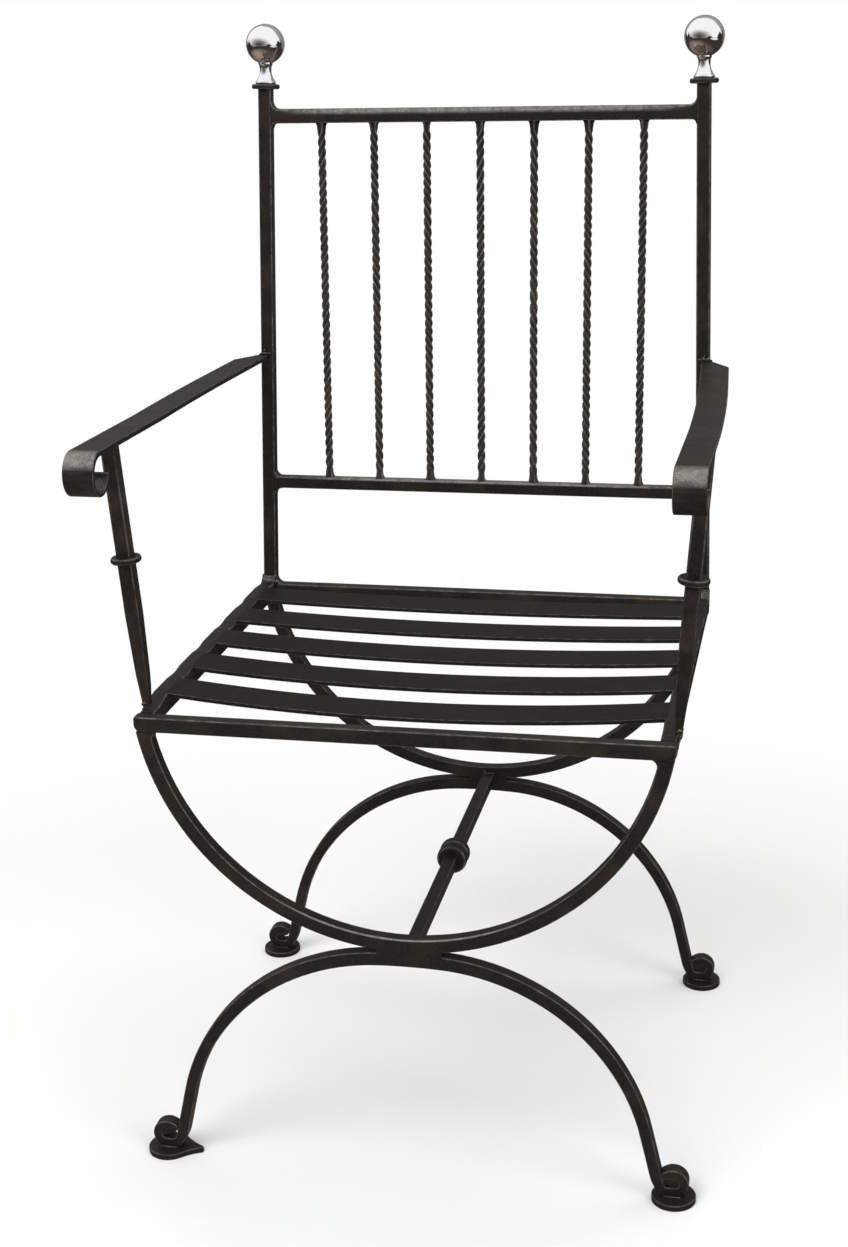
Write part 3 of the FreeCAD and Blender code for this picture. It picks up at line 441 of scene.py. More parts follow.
# %% Welded ends
filled = add(
    tree, "MapRange", interpolation_type="SMOOTHSTEP", Value=to_end,
    From_Min=given["Cone Length"], From_Max=given["Weld Length"], To_Min=1.0, To_Max=0.0,
)
girth = add(tree, "Math", operation="MULTIPLY_ADD", i0=filled, i1=given["Weld Fill"], i2=1.0)
opening = add(tree, "MapRange", Value=to_end, From_Max=given["Cone Length"], To_Min=1.0, To_Max=0.0)
opening = add(tree, "Math", operation="POWER", i0=opening, i1=2.0)
girth = add(tree, "Math", operation="MULTIPLY_ADD", i0=opening, i1=given["Cone Flare"], i2=girth)
print("tree", tree.name, "has", len(tree.nodes), "nodes with its ends")

# %% [markdown]
# The square carries the arris mark: a point of it that is more than about 0.6 of the bar's size
# from the middle belongs to a corner.

# %% The square and its sweep
MARK_STARTS, MARK_FULL = 0.58, 0.66
square = add(tree, "CurvePrimitiveQuadrilateral", Width=given["Bar Size"], Height=given["Bar Size"])
square = add(tree, "SubdivideCurve", Curve=square, Cuts=3)
square = add(
    tree, "FilletCurve", mode="POLY", Curve=square, Count=3, Radius=given["Arris Radius"], Limit_Radius=True,
)
spot = add(tree, "InputPosition")
out = add(tree, "VectorMath", operation="LENGTH", i0=spot)
out = add(tree, "Math", operation="DIVIDE", i0=out, i1=given["Bar Size"])
mark = add(tree, "MapRange", Value=out, From_Min=MARK_STARTS, From_Max=MARK_FULL)
square = add(tree, "StoreNamedAttribute", Geometry=square, Name="arris", Value=mark)
bar = add(tree, "CurveToMesh", Curve=line, Profile_Curve=square, Scale=girth, Fill_Caps=True)
end_in_steel(tree, bar, given["Steel"])

# %% [markdown]
# The bars stand where the solid ones stood: on the middle of each node's box, along the line from
# the lower rail to the top rail. The length of one turn was measured on the picture for each bar,
# and a minus sign means that it winds the other way.

# %% The seven twisted bars
BAR = {
    "Bar Size": 6.0 * MM, "Arris Radius": 0.3 * MM, "Weld Length": 9 * MM, "Weld Fill": 0.14,
    "Cone Length": 4.5 * MM, "Cone Flare": 0.5, "Unevenness": 0.35, "Steel": steel_twisted,
}
TURN_LENGTHS = (38.7, -39.4, -37.6, 39.6, -43.8, -38.0, 38.1)
END_GAP = 0.3 * MM
SEED_STEP = 3.7


def middle(name):
    """The middle of a node's box."""
    low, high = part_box(name)
    return (Vector(low) + Vector(high)) / 2


leaning = (middle("back_top_rail") - middle("back_lower_rail")).normalized()
for index, turn_length in enumerate(TURN_LENGTHS):
    node = "back_spindle_%d" % (index + 1)
    low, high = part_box(node)
    half = (high[2] - low[2]) / 2 / leaning.z - END_GAP
    ends = [middle(node) - leaning * half, middle(node) + leaning * half]
    turns = (2 * half - 2 * BAR["Weld Length"]) / (turn_length * MM)
    sizes = {**BAR, "Turns": turns, "Seed": SEED_STEP * index}
    bar_piece = grow("twisted_bar_%d" % (index + 1), "twisted_square_bar", ends, [(0, 1)], sizes)
    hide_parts(node)
    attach(bar_piece, "root")
print("twisted bars", len(TURN_LENGTHS), "faces each", len(bar_piece.data.polygons))

# %% [markdown]
# Several pieces are lofts: one cross-section after another, each a ring of as many points, with a
# skin over them all. Its faces are turned outwards afterwards, whichever way the rings went round.

# %% Helpers for lofts


def lofted(name, sections, material):
    """A closed skin over equal cross-sections, each a ring of points, with its ends capped."""
    count = len(sections[0])
    points = [point for section in sections for point in section]
    faces = []
    for ring in range(len(sections) - 1):
        for spot in range(count):
            after = (spot + 1) % count
            first, second = ring * count, (ring + 1) * count
            faces.append((first + spot, first + after, second + after, second + spot))
    faces.append(tuple(reversed(range(count))))
    faces.append(tuple(range(len(points) - count, len(points))))
    mesh = new_mesh(name, points, faces=faces)
    skin = bmesh.new()
    skin.from_mesh(mesh)
    bmesh.ops.recalc_face_normals(skin, faces=skin.faces)
    skin.to_mesh(mesh)
    skin.free()
    mesh.polygons.foreach_set("use_smooth", [len(face) == 4 for face in faces])
    mesh.materials.append(material)
    return new_object(name, mesh)


def clamped(value):
    """A share that stays between 0 and 1."""
    return min(1.0, max(0.0, value))


def eased(share):
    """A share that starts and ends gently."""
    return 0.5 - 0.5 * math.cos(math.pi * share)


# %% [markdown]
# Welds. The slats lie on the side rails, and the smith ran weld between their ends and ground it
# down, so that the rail's top is one gently waving surface instead of a row of steps. Its top
# rises at each slat and dips between them, and climbs in a hollow curve where it meets the post.
# In front it starts level with the rail.

# %% The top of the ground weld
RAIL_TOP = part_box("seat_side_rail_left")[1][2]
SLAT_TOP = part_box("seat_slat_1")[1][2]
SLAT_MIDDLES = [middle("seat_slat_%d" % number).y for number in range(1, 6)]
SLAT_HALF = 21 * MM
POST_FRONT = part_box("back_post_left")[0][1]
GROUND_START = -0.182
GROUND_PROUD = 0.12 * MM
RISE_LENGTH = 28 * MM
DIP_LENGTH, DIP_DEPTH = 13 * MM, 1.1 * MM
CLIMB_LENGTH, CLIMB_HEIGHT, CLIMB_POWER = 9 * MM, 6.0 * MM, 2.2
GRINDING_WAVE, WAVES_PER_METRE = 0.22 * MM, 110


def ground_height(y):
    """The height of the ground weld's top at a place along the rail."""
    nearest = min(abs(y - slat) for slat in SLAT_MIDDLES)
    height = SLAT_TOP + GROUND_PROUD - DIP_DEPTH * eased(clamped((nearest - SLAT_HALF) / DIP_LENGTH))
    height += CLIMB_HEIGHT * max(0.0, 1 - (POST_FRONT - y) / CLIMB_LENGTH) ** CLIMB_POWER
    height = RAIL_TOP + (height - RAIL_TOP) * eased(clamped((y - GROUND_START) / RISE_LENGTH))
    return height + GRINDING_WAVE * noise.noise(Vector((y * WAVES_PER_METRE, 0.3, 1.7)))


print("ground weld from", ground_height(GROUND_START), "to", ground_height(POST_FRONT))

# %% [markdown]
# The weld also covers the rail's outer face, where it swells out by about a third of a
# millimetre, unevenly. Its section goes round once, from the outer face over the top to the inner
# face, measured from the rail's own faces.

# %% Ground weld along the side rails
RAIL_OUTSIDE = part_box("seat_slat_1")[1][0]
RAIL_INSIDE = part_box("seat_side_rail_right")[0][0]
WELD_STEP = 1.5 * MM
INTO_POST = 3 * MM
SIDE_SHIFT = 0.7 * MM
SWELLING, SWELLS_PER_METRE = 0.35 * MM, 90
ground_steps = int((POST_FRONT + INTO_POST - GROUND_START) / WELD_STEP)

for side, sign in (("left", -1), ("right", 1)):
    sections = []
    for step in range(ground_steps + 1):
        y = GROUND_START + step * WELD_STEP
        top = ground_height(y + SIDE_SHIFT * sign)
        swollen = RAIL_OUTSIDE + SWELLING * (1 + noise.noise(Vector((y * SWELLS_PER_METRE, sign, 4.0))))
        outline = [
            (RAIL_OUTSIDE - 1.6 * MM, RAIL_TOP - 12.1 * MM), (RAIL_OUTSIDE - 0.2 * MM, RAIL_TOP - 10.1 * MM),
            (swollen, RAIL_TOP - 6.1 * MM), (swollen, top - 3.6 * MM),
            (swollen, top - 1.3 * MM), (swollen - 0.4 * MM, top - 0.4 * MM),
            (RAIL_OUTSIDE - 1.2 * MM, top), (RAIL_OUTSIDE - 3.4 * MM, top + 0.05 * MM),
            (RAIL_INSIDE + 3.0 * MM, top), (RAIL_INSIDE + 1.2 * MM, top - 0.5 * MM),
            (RAIL_INSIDE + 0.2 * MM, top - 1.8 * MM), (RAIL_INSIDE - 0.1 * MM, RAIL_TOP - 2.1 * MM),
            (RAIL_INSIDE + 1.4 * MM, RAIL_TOP - 7.1 * MM),
        ]
        sections.append([(sign * x, y, z) for x, z in outline])
    ground = lofted("ground_weld_" + side, sections, steel_level)
    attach(ground, "root")
print("ground weld in", len(sections), "sections a side")

# %% [markdown]
# The top rail is the one bar that was hammered on an edge: its upper front arris is beaten down
# into a slope about four millimetres high with an uneven lower line, and that slope is bare metal,
# partly rubbed by hands and partly a painted highlight. It replaces the plain rail of the solid model and is
# a loft along the rail.
# Towards the posts it opens into the hollow weld fillets, and the slope dies out.

# %% The hammered rail's cross-section
RAIL_DEPTH = 13.2 * MM
RAIL_HEIGHT = 14.3 * MM
RAIL_ROUNDING = 2.4 * MM
SLOPE_HEIGHT, SLOPE_SETBACK, SLOPE_BELLY = 4.3 * MM, 3.6 * MM, 0.55 * MM
FLAT_UNDER_SLOPE = 2.2 * MM
UNBEATEN, BEATING_LENGTH = 6 * MM, 22 * MM
TOP_WAVE = 0.25 * MM
POST_AT_TOP = 214.2 * MM
UPPER_FILLET = 8.0 * MM
LOWER_FILLET = 4.5 * MM


def hollow(distance, radius):
    """How far a hollow fillet of a radius rises, at a distance from the wall."""
    if distance >= radius:
        return 0.0
    return radius - math.sqrt(max(0.0, radius * radius - (radius - max(distance, 0.0)) ** 2))


def rounded_corner(centre, radius, start, stop, count):
    """Points along a quarter turn about a corner's centre, angles in degrees."""
    points = []
    for step in range(count + 1):
        angle = math.radians(start + (stop - start) * step / count)
        points.append((centre[0] + radius * math.cos(angle), centre[1] + radius * math.sin(angle)))
    return points


def rail_outline(x):
    """The rail's cross-section at x: depth across and height along the lean, in metres."""
    to_post = POST_AT_TOP - abs(x)
    top = RAIL_HEIGHT / 2 + hollow(to_post, UPPER_FILLET)
    bottom = -RAIL_HEIGHT / 2 - hollow(to_post, LOWER_FILLET)
    beaten = clamped((to_post - UNBEATEN) / BEATING_LENGTH)
    uneven = noise.noise(Vector((x * 60, 0.5, 0.0))) + 0.6 * noise.noise(Vector((x * 190, 3.5, 0.0)))
    slope = RAIL_ROUNDING + (SLOPE_HEIGHT - RAIL_ROUNDING) * beaten * (1 + 0.22 * uneven)
    setback = RAIL_ROUNDING + (SLOPE_SETBACK - RAIL_ROUNDING) * beaten
    sag = TOP_WAVE * noise.noise(Vector((x * 45, 9.0, 0.0))) * beaten
    half, r = RAIL_DEPTH / 2, RAIL_ROUNDING
    outline = rounded_corner((-half + r, bottom + r), r, 270, 180, 4)
    outline += [(-half, top - slope - FLAT_UNDER_SLOPE), (-half, top - slope)]
    for share in (0.25, 0.5, 0.75):
        belly = 0.7 * SLOPE_BELLY * math.sin(math.pi * share)
        outline.append((-half + setback * share - belly, top - slope * (1 - share) + belly + sag * share))
    outline += [(-half + setback, top + sag), (0.0, top + sag * 0.5)]
    outline += rounded_corner((half - r, top - r), r, 90, 0, 4)
    outline += rounded_corner((half - r, bottom + r), r, 0, -90, 4)
    return outline


print("rail section of", len(rail_outline(0.0)), "points")

# %% [markdown]
# The solid rail's box takes in its fillets, which are taller above than below. So the bar's own
# middle line lies a little lower than the middle of that box.

# %% The hammered top rail
RAIL_STEP = 1.4 * MM
SIDE_GAP = 0.2 * MM
FILLET_REACHED = 0.98
ACROSS = Vector((0, leaning.z, -leaning.y))

rail_low, rail_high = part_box("back_top_rail")
rail_heart = middle("back_top_rail") - leaning * (UPPER_FILLET - LOWER_FILLET) / 2 * FILLET_REACHED
rail_length = rail_high[0] - rail_low[0] - 2 * SIDE_GAP
rail_steps = int(rail_length / RAIL_STEP)
sections = []
for step in range(rail_steps + 1):
    x = rail_low[0] + SIDE_GAP + rail_length * step / rail_steps
    sections.append([
        tuple(Vector((x, rail_heart.y, rail_heart.z)) + ACROSS * depth + leaning * height)
        for depth, height in rail_outline(x)
    ])
top_rail = lofted("hammered_top_rail", sections, steel_handled_highlit)
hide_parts("back_top_rail")
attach(top_rail, "root")
print("top rail in", len(sections), "sections")

# %% [markdown]
# The arm supports were drawn out at the foot: the last three centimetres taper quickly to a small
# end that is welded on the rail's outer edge. Each is a merged copy of the solid bar, cut across
# at the top of the quick taper and twice below. The picture shows the bar a sixth thicker than the
# solid one, so all points move out from its axis, and those below the top cut are drawn in again.

# %% Drawn-out feet of the arm supports
TAPER_TOP = 0.472
CUT_STEP = 12 * MM
END_SLICE = 2.5 * MM
WELDED_WITHIN = 0.01 * MM
FOOT_SHARE = 0.62
TAPER_POWER = 1.4
SUPPORT_GROWTH = 1.18
SHARP_FROM = math.radians(28)


def heart_of(points):
    """The middle of some points."""
    return sum(points, Vector()) / len(points)


for side in ("left", "right"):
    node = "arm_support_" + side
    shape = bmesh.new()
    shape.from_mesh(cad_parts[node].data)
    bmesh.ops.remove_doubles(shape, verts=shape.verts, dist=WELDED_WITHIN)
    for cut in range(3):
        everything = shape.verts[:] + shape.edges[:] + shape.faces[:]
        height = TAPER_TOP - cut * CUT_STEP
        bmesh.ops.bisect_plane(shape, geom=everything, plane_co=(0, 0, height), plane_no=(0, 0, 1))
    places = [vertex.co.copy() for vertex in shape.verts]
    low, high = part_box(node)
    axis_top = heart_of([place for place in places if abs(place.z - TAPER_TOP) < WELDED_WITHIN])
    axis_foot = heart_of([place for place in places if place.z < low[2] + END_SLICE])
    axis_head = heart_of([place for place in places if place.z > high[2] - END_SLICE])
    for vertex in shape.verts:
        axis_end = axis_head if vertex.co.z > TAPER_TOP else axis_foot
        share = (TAPER_TOP - vertex.co.z) / (TAPER_TOP - axis_end.z)
        axis_point = axis_top.lerp(axis_end, share)
        growth = SUPPORT_GROWTH
        if axis_end is axis_foot:
            growth *= 1 - (1 - FOOT_SHARE) * min(1.0, share) ** TAPER_POWER
        vertex.co.x = axis_point.x + (vertex.co.x - axis_point.x) * growth
        vertex.co.y = axis_point.y + (vertex.co.y - axis_point.y) * growth
    mesh = bpy.data.meshes.new("drawn_support_" + side)
    shape.to_mesh(mesh)
    shape.free()
    mesh.materials.append(steel_drawn)
    mesh.shade_smooth()
    mesh.set_sharp_from_angle(angle=SHARP_FROM)
    piece = new_object("drawn_support_" + side, mesh)
    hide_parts(node)
    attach(piece, "root")
print("supports drawn out")

# %% [markdown]
# Where a rail of the back meets a post, the weld was dressed with a file into a hollow curve. Each
# such fillet is a small loft across the bar's depth: a quarter circle that draws back into the
# corner near the front and the back, because the bars' arrises are rounded there too.

# %% Hollow fillets
ARC_STEPS = 10
DEPTH_STEPS = 12
SMALLEST_FILLET = 0.15 * MM


def drawn_back(depth, half_depth, rounding):
    """How far a rounded arris has drawn back from the face, at a depth from the bar's middle."""
    beyond = max(0.0, abs(depth) - (half_depth - rounding)) / rounding
    return rounding * (1 - math.sqrt(max(0.0, 1 - beyond * beyond)))


def depth_places(half_depth):
    """Places from the front to the back of a bar, closer together near both."""
    return [-math.cos(math.pi * step / DEPTH_STEPS) * half_depth for step in range(DEPTH_STEPS + 1)]


def corner_fillet(corner, outward, along, radius, half_depth, rounding):
    """A hollow fillet in a corner, from which outward and along are the two free directions."""
    sections = []
    for depth in depth_places(half_depth):
        draw = drawn_back(depth, half_depth, rounding)
        size = max(radius - draw * 1.2, SMALLEST_FILLET)
        ring = [corner - (outward + along) * MM + ACROSS * depth]
        foot = corner - (outward + along) * draw + ACROSS * depth
        for arc in range(ARC_STEPS + 1):
            turned = math.pi / 2 * arc / ARC_STEPS
            ring.append(foot + (outward * (1 - math.sin(turned)) + along * (1 - math.cos(turned))) * size)
        sections.append([tuple(point) for point in ring])
    return sections


# %% [markdown]
# The lower rail has a fillet above and below at each end, and the seat's back rail only above.
# The posts lean inwards, so the corner's place is worked out at its own height.

# %% Filed fillets in the corners of the back
POST_HALF = 6.9 * MM
POST_FOOT_OUT = 231.7 * MM
POST_CAP_OUT = 220.5 * MM
BACK_HALF_DEPTH = 6.6 * MM
BACK_ROUNDING = 2.6 * MM
LOWER_RAIL_HALF = 6.45 * MM
LOWER_RAIL = middle("back_lower_rail").z
FILED_CORNERS = (
    ("back_lower_rail", 7.5 * MM, ((1, LOWER_RAIL + LOWER_RAIL_HALF), (-1, LOWER_RAIL - LOWER_RAIL_HALF))),
    ("seat_back_rail", 8.0 * MM, ((1, RAIL_TOP),)),
)


def post_inside(height):
    """How far from the middle the post's inner face is, at a height."""
    low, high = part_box("back_post_left")
    share = (height - low[2]) / (high[2] - low[2])
    return POST_FOOT_OUT + (POST_CAP_OUT - POST_FOOT_OUT) * share - POST_HALF


fillet_count = 0
for rail, radius, faces in FILED_CORNERS:
    heart = middle(rail)
    for side in (-1, 1):
        for upright, z in faces:
            corner = Vector((side * post_inside(z), heart.y + (z - heart.z) * leaning.y, z))
            sections = corner_fillet(
                corner, Vector((-side, 0, 0)), leaning * upright, radius, BACK_HALF_DEPTH, BACK_ROUNDING,
            )
            fillet_count += 1
            piece = lofted("filed_fillet_%d" % fillet_count, sections, steel_upright)
            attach(piece, "root")
print("filed fillets", fillet_count)

# %% [markdown]
# Each foot's bar ends in a scroll round an open eye. On the real chair the thinned end of the bar
# was rolled on into the eye, further on the front right foot than on the others. The rolled end is
# a short loft through the eye, with outlines in millimetres from the scroll's middle, the first
# number outwards and the second upwards.

# %% Rolled ends in the foot scrolls
SCROLL_OUT = 239.7
SCROLL_UP = 19.4
TIP_HALF_DEPTH = 6.3
TIP_ROUNDING = 1.6
SHORT_ROLL = (
    (-8.2, 5.2), (4.0, 5.2), (6.0, 2.0), (5.6, -1.4), (4.2, -1.6),
    (2.6, -0.6), (0.4, 0.2), (-2.4, 0.9), (-5.4, 1.8), (-8.6, 2.8),
)
LONG_ROLL = (
    (-9.6, 5.2), (4.0, 5.2), (6.0, 1.0), (5.6, -3.0), (3.4, -5.2),
    (1.0, -4.9), (-1.2, -3.6), (-3.6, -2.4), (-6.4, -1.7), (-9.9, -1.4),
)
FEET = {"front_left": -1, "front_right": 1, "rear_left": -1, "rear_right": 1}

for foot, side in FEET.items():
    outline = [Vector(point) for point in (LONG_ROLL if foot == "front_right" else SHORT_ROLL)]
    arch = middle(foot.split("_")[0] + "_leg_arch")
    heart = sum(outline, Vector((0, 0))) / len(outline)
    sections = []
    for depth in depth_places(TIP_HALF_DEPTH):
        draw = drawn_back(depth, TIP_HALF_DEPTH, TIP_ROUNDING)
        drawn = [point + (heart - point).normalized() * draw for point in outline]
        sections.append([
            (arch.x + side * (SCROLL_OUT + point.x) * MM, arch.y + depth * MM, (SCROLL_UP + point.y) * MM)
            for point in drawn
        ])
    piece = lofted("rolled_end_" + foot, sections, steel_upright)
    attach(piece, "root")
print("rolled ends in", len(FEET), "scrolls")

# %% [markdown]
# Where nobody filed, the bead still shows. A bead follows a path, so a node tree makes them all:
# a round bar along the path, thinned to nothing at both ends, with the small even ripples that
# the electrode leaves and some unevenness. Each point of the path carries the bead's radius.

# %% A tree for weld beads
BEAD_STEP = 0.5 * MM
BEAD_LUMP = 1.8 * MM
tree, given = tree_with_inputs("weld_bead", "Ripple Pitch", "Ripple Height", "Roughness")
line, whole, reach, to_end = along_path(tree, given["Path"], BEAD_STEP)
radius = add(tree, "InputNamedAttribute", Name="bead_radius")
inward = add(tree, "Math", operation="DIVIDE", use_clamp=True, i0=to_end, i1=radius)
inward = add(tree, "Math", operation="SUBTRACT", i0=1.0, i1=inward)
inward = add(tree, "Math", operation="POWER", i0=inward, i1=2.0)
inward = add(tree, "Math", operation="SUBTRACT", i0=1.02, i1=inward)
tip = add(tree, "Math", operation="SQRT", i0=inward)
turns = add(tree, "Math", operation="DIVIDE", i0=reach, i1=given["Ripple Pitch"])
wave = add(tree, "Math", operation="SINE", i0=times(tree, turns, 2 * math.pi))
wave = add(tree, "Math", operation="MULTIPLY_ADD", i0=wave, i1=given["Ripple Height"], i2=1.0)
ring = add(tree, "CurvePrimitiveCircle", mode="RADIUS", Resolution=10, Radius=1.0)
girth = times(tree, radius, tip, wave)
bead = add(tree, "CurveToMesh", Curve=line, Profile_Curve=ring, Scale=girth, Fill_Caps=True)
lumps = add(tree, "TexNoise", Scale=1 / BEAD_LUMP, Detail=1.0)
lumps = add(tree, "Math", operation="SUBTRACT", i0=lumps, i1=0.5)
lumps = times(tree, lumps, given["Roughness"])
facing = add(tree, "InputNormal")
shift = add(tree, "VectorMath", operation="SCALE", i0=facing, Scale=lumps)
bead = add(tree, "SetPosition", Geometry=bead, Offset=shift)
end_in_steel(tree, bead, given["Steel"])

# %% [markdown]
# The paths are short and lie where the eye finds them on the real chair: in front of and behind
# each foot scroll, round both ends of the stretcher, across the arms where they meet the posts,
# and at the feet of the arm supports, one of them with a long slanting run down the rail. All
# are in millimetres, and a bead's radius comes before its points.

# %% Paths of the weld beads
BEAD_FROM_PAD_EDGE = 20.2
BEAD_ABOVE_PAD = 0.3
PAD_BEAD = ((-7, 6.2), (0, 6.9), (9, 6.4))
PAD_BEAD_RADIUS = 1.3
STRETCHER_HALF = 6.4
STRETCHER_LOOP = ((-1, -1), (-1, 1), (1, 1), (1, -1), (-0.84375, -1))
STRETCHER_ENDS = ((-191.9, 1.4), (203.8, 1.6))
BEADS_BOTH_SIDES = (
    (1.7, (233.5, 216.8, 690.6), (228, 217.4, 691.2), (221, 217.6, 690.8)),
    (1.4, (234.2, 219.5, 690.2), (234.0, 226, 688.5)),
    (1.4, (236.6, -174.2, 444.6), (240.2, -174.4, 444.6), (242.4, -173.0, 443.4)),
    (1.2, (236.8, -165.8, 444.6), (240.2, -165.6, 444.6), (242.2, -167.0, 443.4)),
    (1.5, (225.4, 203.6, 447.4), (231.0, 202.9, 448.6), (237.4, 203.6, 447.6)),
)
LONG_RUN = (
    1.6, (241.4, -173.0, 442.5), (239.6, -178.0, 440.0), (238.6, -184.0, 437.0), (238.4, -190.0, 434.5),
)

beads = []
for foot, side in FEET.items():
    low, high = (Vector(corner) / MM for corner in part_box("foot_pad_" + foot))
    x = (high.x if side > 0 else low.x) - side * BEAD_FROM_PAD_EDGE
    y, z = (low.y + high.y) / 2, high.z + BEAD_ABOVE_PAD
    for face in (-1, 1):
        beads.append((PAD_BEAD_RADIUS, *[(x - side * inward, y + face * out, z) for inward, out in PAD_BEAD]))

bar_x, bar_z = middle("stretcher_bar").x / MM, middle("stretcher_bar").z / MM
for y, radius in STRETCHER_ENDS:
    beads.append((radius, *[
        (bar_x + across * STRETCHER_HALF, y, bar_z + over * STRETCHER_HALF) for across, over in STRETCHER_LOOP
    ]))

for side in (-1, 1):
    for radius, *points in BEADS_BOTH_SIDES:
        beads.append((radius, *[(side * x, y, z) for x, y, z in points]))
beads.append(LONG_RUN)
print("bead paths", len(beads))

# %% [markdown]
# All the beads are one piece, because none of them can be taken off. The paths are laid in one
# mesh of loose edges, and the tree finds the radius on each of its points.

# %% The weld beads
BEAD = {"Ripple Pitch": 1.5 * MM, "Ripple Height": 0.09, "Roughness": 0.5 * MM, "Steel": steel_level}

bead_points, bead_edges, bead_radii = [], [], []
for radius, *points in beads:
    start = len(bead_points)
    bead_points += [Vector(point) * MM for point in points]
    bead_radii += [radius * MM] * len(points)
    bead_edges += [(start + step, start + step + 1) for step in range(len(points) - 1)]
weld_beads = grow("weld_beads", "weld_bead", bead_points, bead_edges, BEAD, {"bead_radius": bead_radii})
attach(weld_beads, "root")
print("beads", len(beads), "faces", len(weld_beads.data.polygons))

# %% [markdown]
# Spatter is what the electrode threw: small drops of steel stuck beside the weld, bare metal on
# top, where rubbing and a painted highlight are one mask. A few dozen of them share one rounded drop,
# squashed and turned differently each time.

# %% A tree for spatter
ANY_TURN = (6.28, 6.28, 6.28)
tree, given = tree_with_inputs("weld_spatter", "Seed", "Smallest", "Largest")
drop = add(tree, "MeshIcoSphere", Radius=1.0, Subdivisions=2)
seed, smallest, largest = given["Seed"], given["Smallest"], given["Largest"]
span = add(tree, "RandomValue", data_type="FLOAT", i2=smallest, i3=largest, Seed=seed)
spin = add(tree, "RandomValue", data_type="FLOAT_VECTOR", i1=ANY_TURN, Seed=seed)
larger = add(tree, "InputNamedAttribute", Name="drop_size")
squash = add(tree, "CombineXYZ", X=1.0, Y=0.85, Z=0.7)
size = times(tree, span, larger)
squash = add(tree, "VectorMath", operation="SCALE", i0=squash, Scale=size)
drops = add(tree, "InstanceOnPoints", Points=given["Path"], Instance=drop, Rotation=spin, Scale=squash)
end_in_steel(tree, drops, given["Steel"])

# %% [markdown]
# The drops' places are drawn at random from a fixed seed, close to the welds. Each row gives, in
# millimetres, the middle of a few drops and how far they spread along each axis, and then how
# many there are and how large.

# %% Spatter
DROP = {"Seed": 5.0, "Smallest": 0.5 * MM, "Largest": 1.2 * MM, "Steel": steel_spatter}
SPATTER_BOTH_SIDES = (
    ((230.5, 203.0, 449.5), (4.5, 0.5, 2.5), 7, 1.5),
    ((226.0, 203.3, 452.0), (3.0, 0.4, 5.0), 4, 0.8),
    ((229.0, 217.0, 693.0), (4.0, 0.4, 2.5), 5, 1.2),
    ((239.6, -174.8, 445.8), (1.6, 0.5, 0.8), 4, 1.1),
)
SPATTER_BY_LEFT_POST = ((-222.5, 203.9, 447.5), (2.5, 0.5, 1.5), 4, 1.3)
SPATTER_OVER_STRETCHER = ((bar_x, 203.0, bar_z + 7.5), (5.0, 0.5, 1.5), 5, 1.1)

showers = [((side * x, y, z), *rest) for side in (-1, 1) for (x, y, z), *rest in SPATTER_BOTH_SIDES]
showers += [SPATTER_BY_LEFT_POST, SPATTER_OVER_STRETCHER]
dice = random.Random(7)
drop_places, drop_sizes = [], []
for heart, spread, count, size in showers:
    for number in range(count):
        drop_places.append([(at + wide * dice.uniform(-1, 1)) * MM for at, wide in zip(heart, spread)])
    drop_sizes += [size] * count
drops_piece = grow("weld_spatter", "weld_spatter", drop_places, [], DROP, {"drop_size": drop_sizes})
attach(drops_piece, "root")
print("drops", len(drop_places), "faces", len(drops_piece.data.polygons))

# %% [markdown]
# The background is the plain white of a studio sweep. The camera, the mirror balls and anything
# clear see it as white, while the lamps do the lighting.

# %% The world
WHITE = (1, 1, 1, 1)
SKY_STRENGTH = 0.55
scene.view_settings.view_transform = "Standard"
scene.world = bpy.data.worlds.new("studio_world")
scene.world.use_nodes = True
sky = scene.world.node_tree
sky.nodes.clear()


def seen_directly(tree):
    """1 for the rays by which the eye, a mirror or clear glass sees the background."""
    rays = add(tree, "LightPath").outputs
    seen = add(tree, "Math", operation="MAXIMUM", i0=rays["Is Camera Ray"], i1=rays["Is Glossy Ray"])
    return add(tree, "Math", operation="MAXIMUM", i0=seen, i1=rays["Is Transmission Ray"])


lighting = add(sky, "Background", Color=linear("#e9eef2"), Strength=SKY_STRENGTH)
backdrop = add(sky, "Background", Color=WHITE, Strength=1.0)
mixed = add(sky, "MixShader", i0=seen_directly(sky), i1=lighting, i2=backdrop)
add(sky, "OutputWorld", Surface=mixed)
print("world", scene.world.name)

# %% [markdown]
# Close to the chair the floor is a pale surface that holds its shadow, and further out it passes
# into the white of the background.

# %% The floor
FLOOR_HALF = 6.0
FLOOR_COLOUR = linear("#f2f1ef")
SWEEP_STARTS, SWEEP_ENDS = 0.45, 1.1


def level_square(half, height):
    """The corners of a level square round the chair."""
    return [(across * half, away * half, height) for across, away in ((-1, -1), (1, -1), (1, 1), (-1, 1))]


ONE_FACE = [(0, 1, 2, 3)]
floor = new_object("studio_floor", new_mesh("studio_floor", level_square(FLOOR_HALF, 0), faces=ONE_FACE))
paper, tree, shader, place = new_material("pale_studio_paper")
wire(tree, shader, Base_Color=FLOOR_COLOUR, Roughness=0.9)
white = add(tree, "Emission", Color=WHITE, Strength=1.0)
out = add(tree, "VectorMath", operation="LENGTH", i0=place)
away = add(
    tree, "MapRange", interpolation_type="SMOOTHSTEP", Value=out, From_Min=SWEEP_STARTS, From_Max=SWEEP_ENDS,
)
sweep = add(tree, "MixShader", i0=times(tree, away, seen_directly(tree)), i1=shader, i2=white)
wire(tree, tree.nodes["Material Output"], Surface=sweep)
floor.data.materials.append(paper)
print("floor", 2 * FLOOR_HALF, "metres wide")

# %% [markdown]
# Polished metal looks like what stands round it. Cards that only reflections can see stand for a
# garden. The first lies on the ground: brown soil, lighter in a glade, with a pale patio on the
# right.

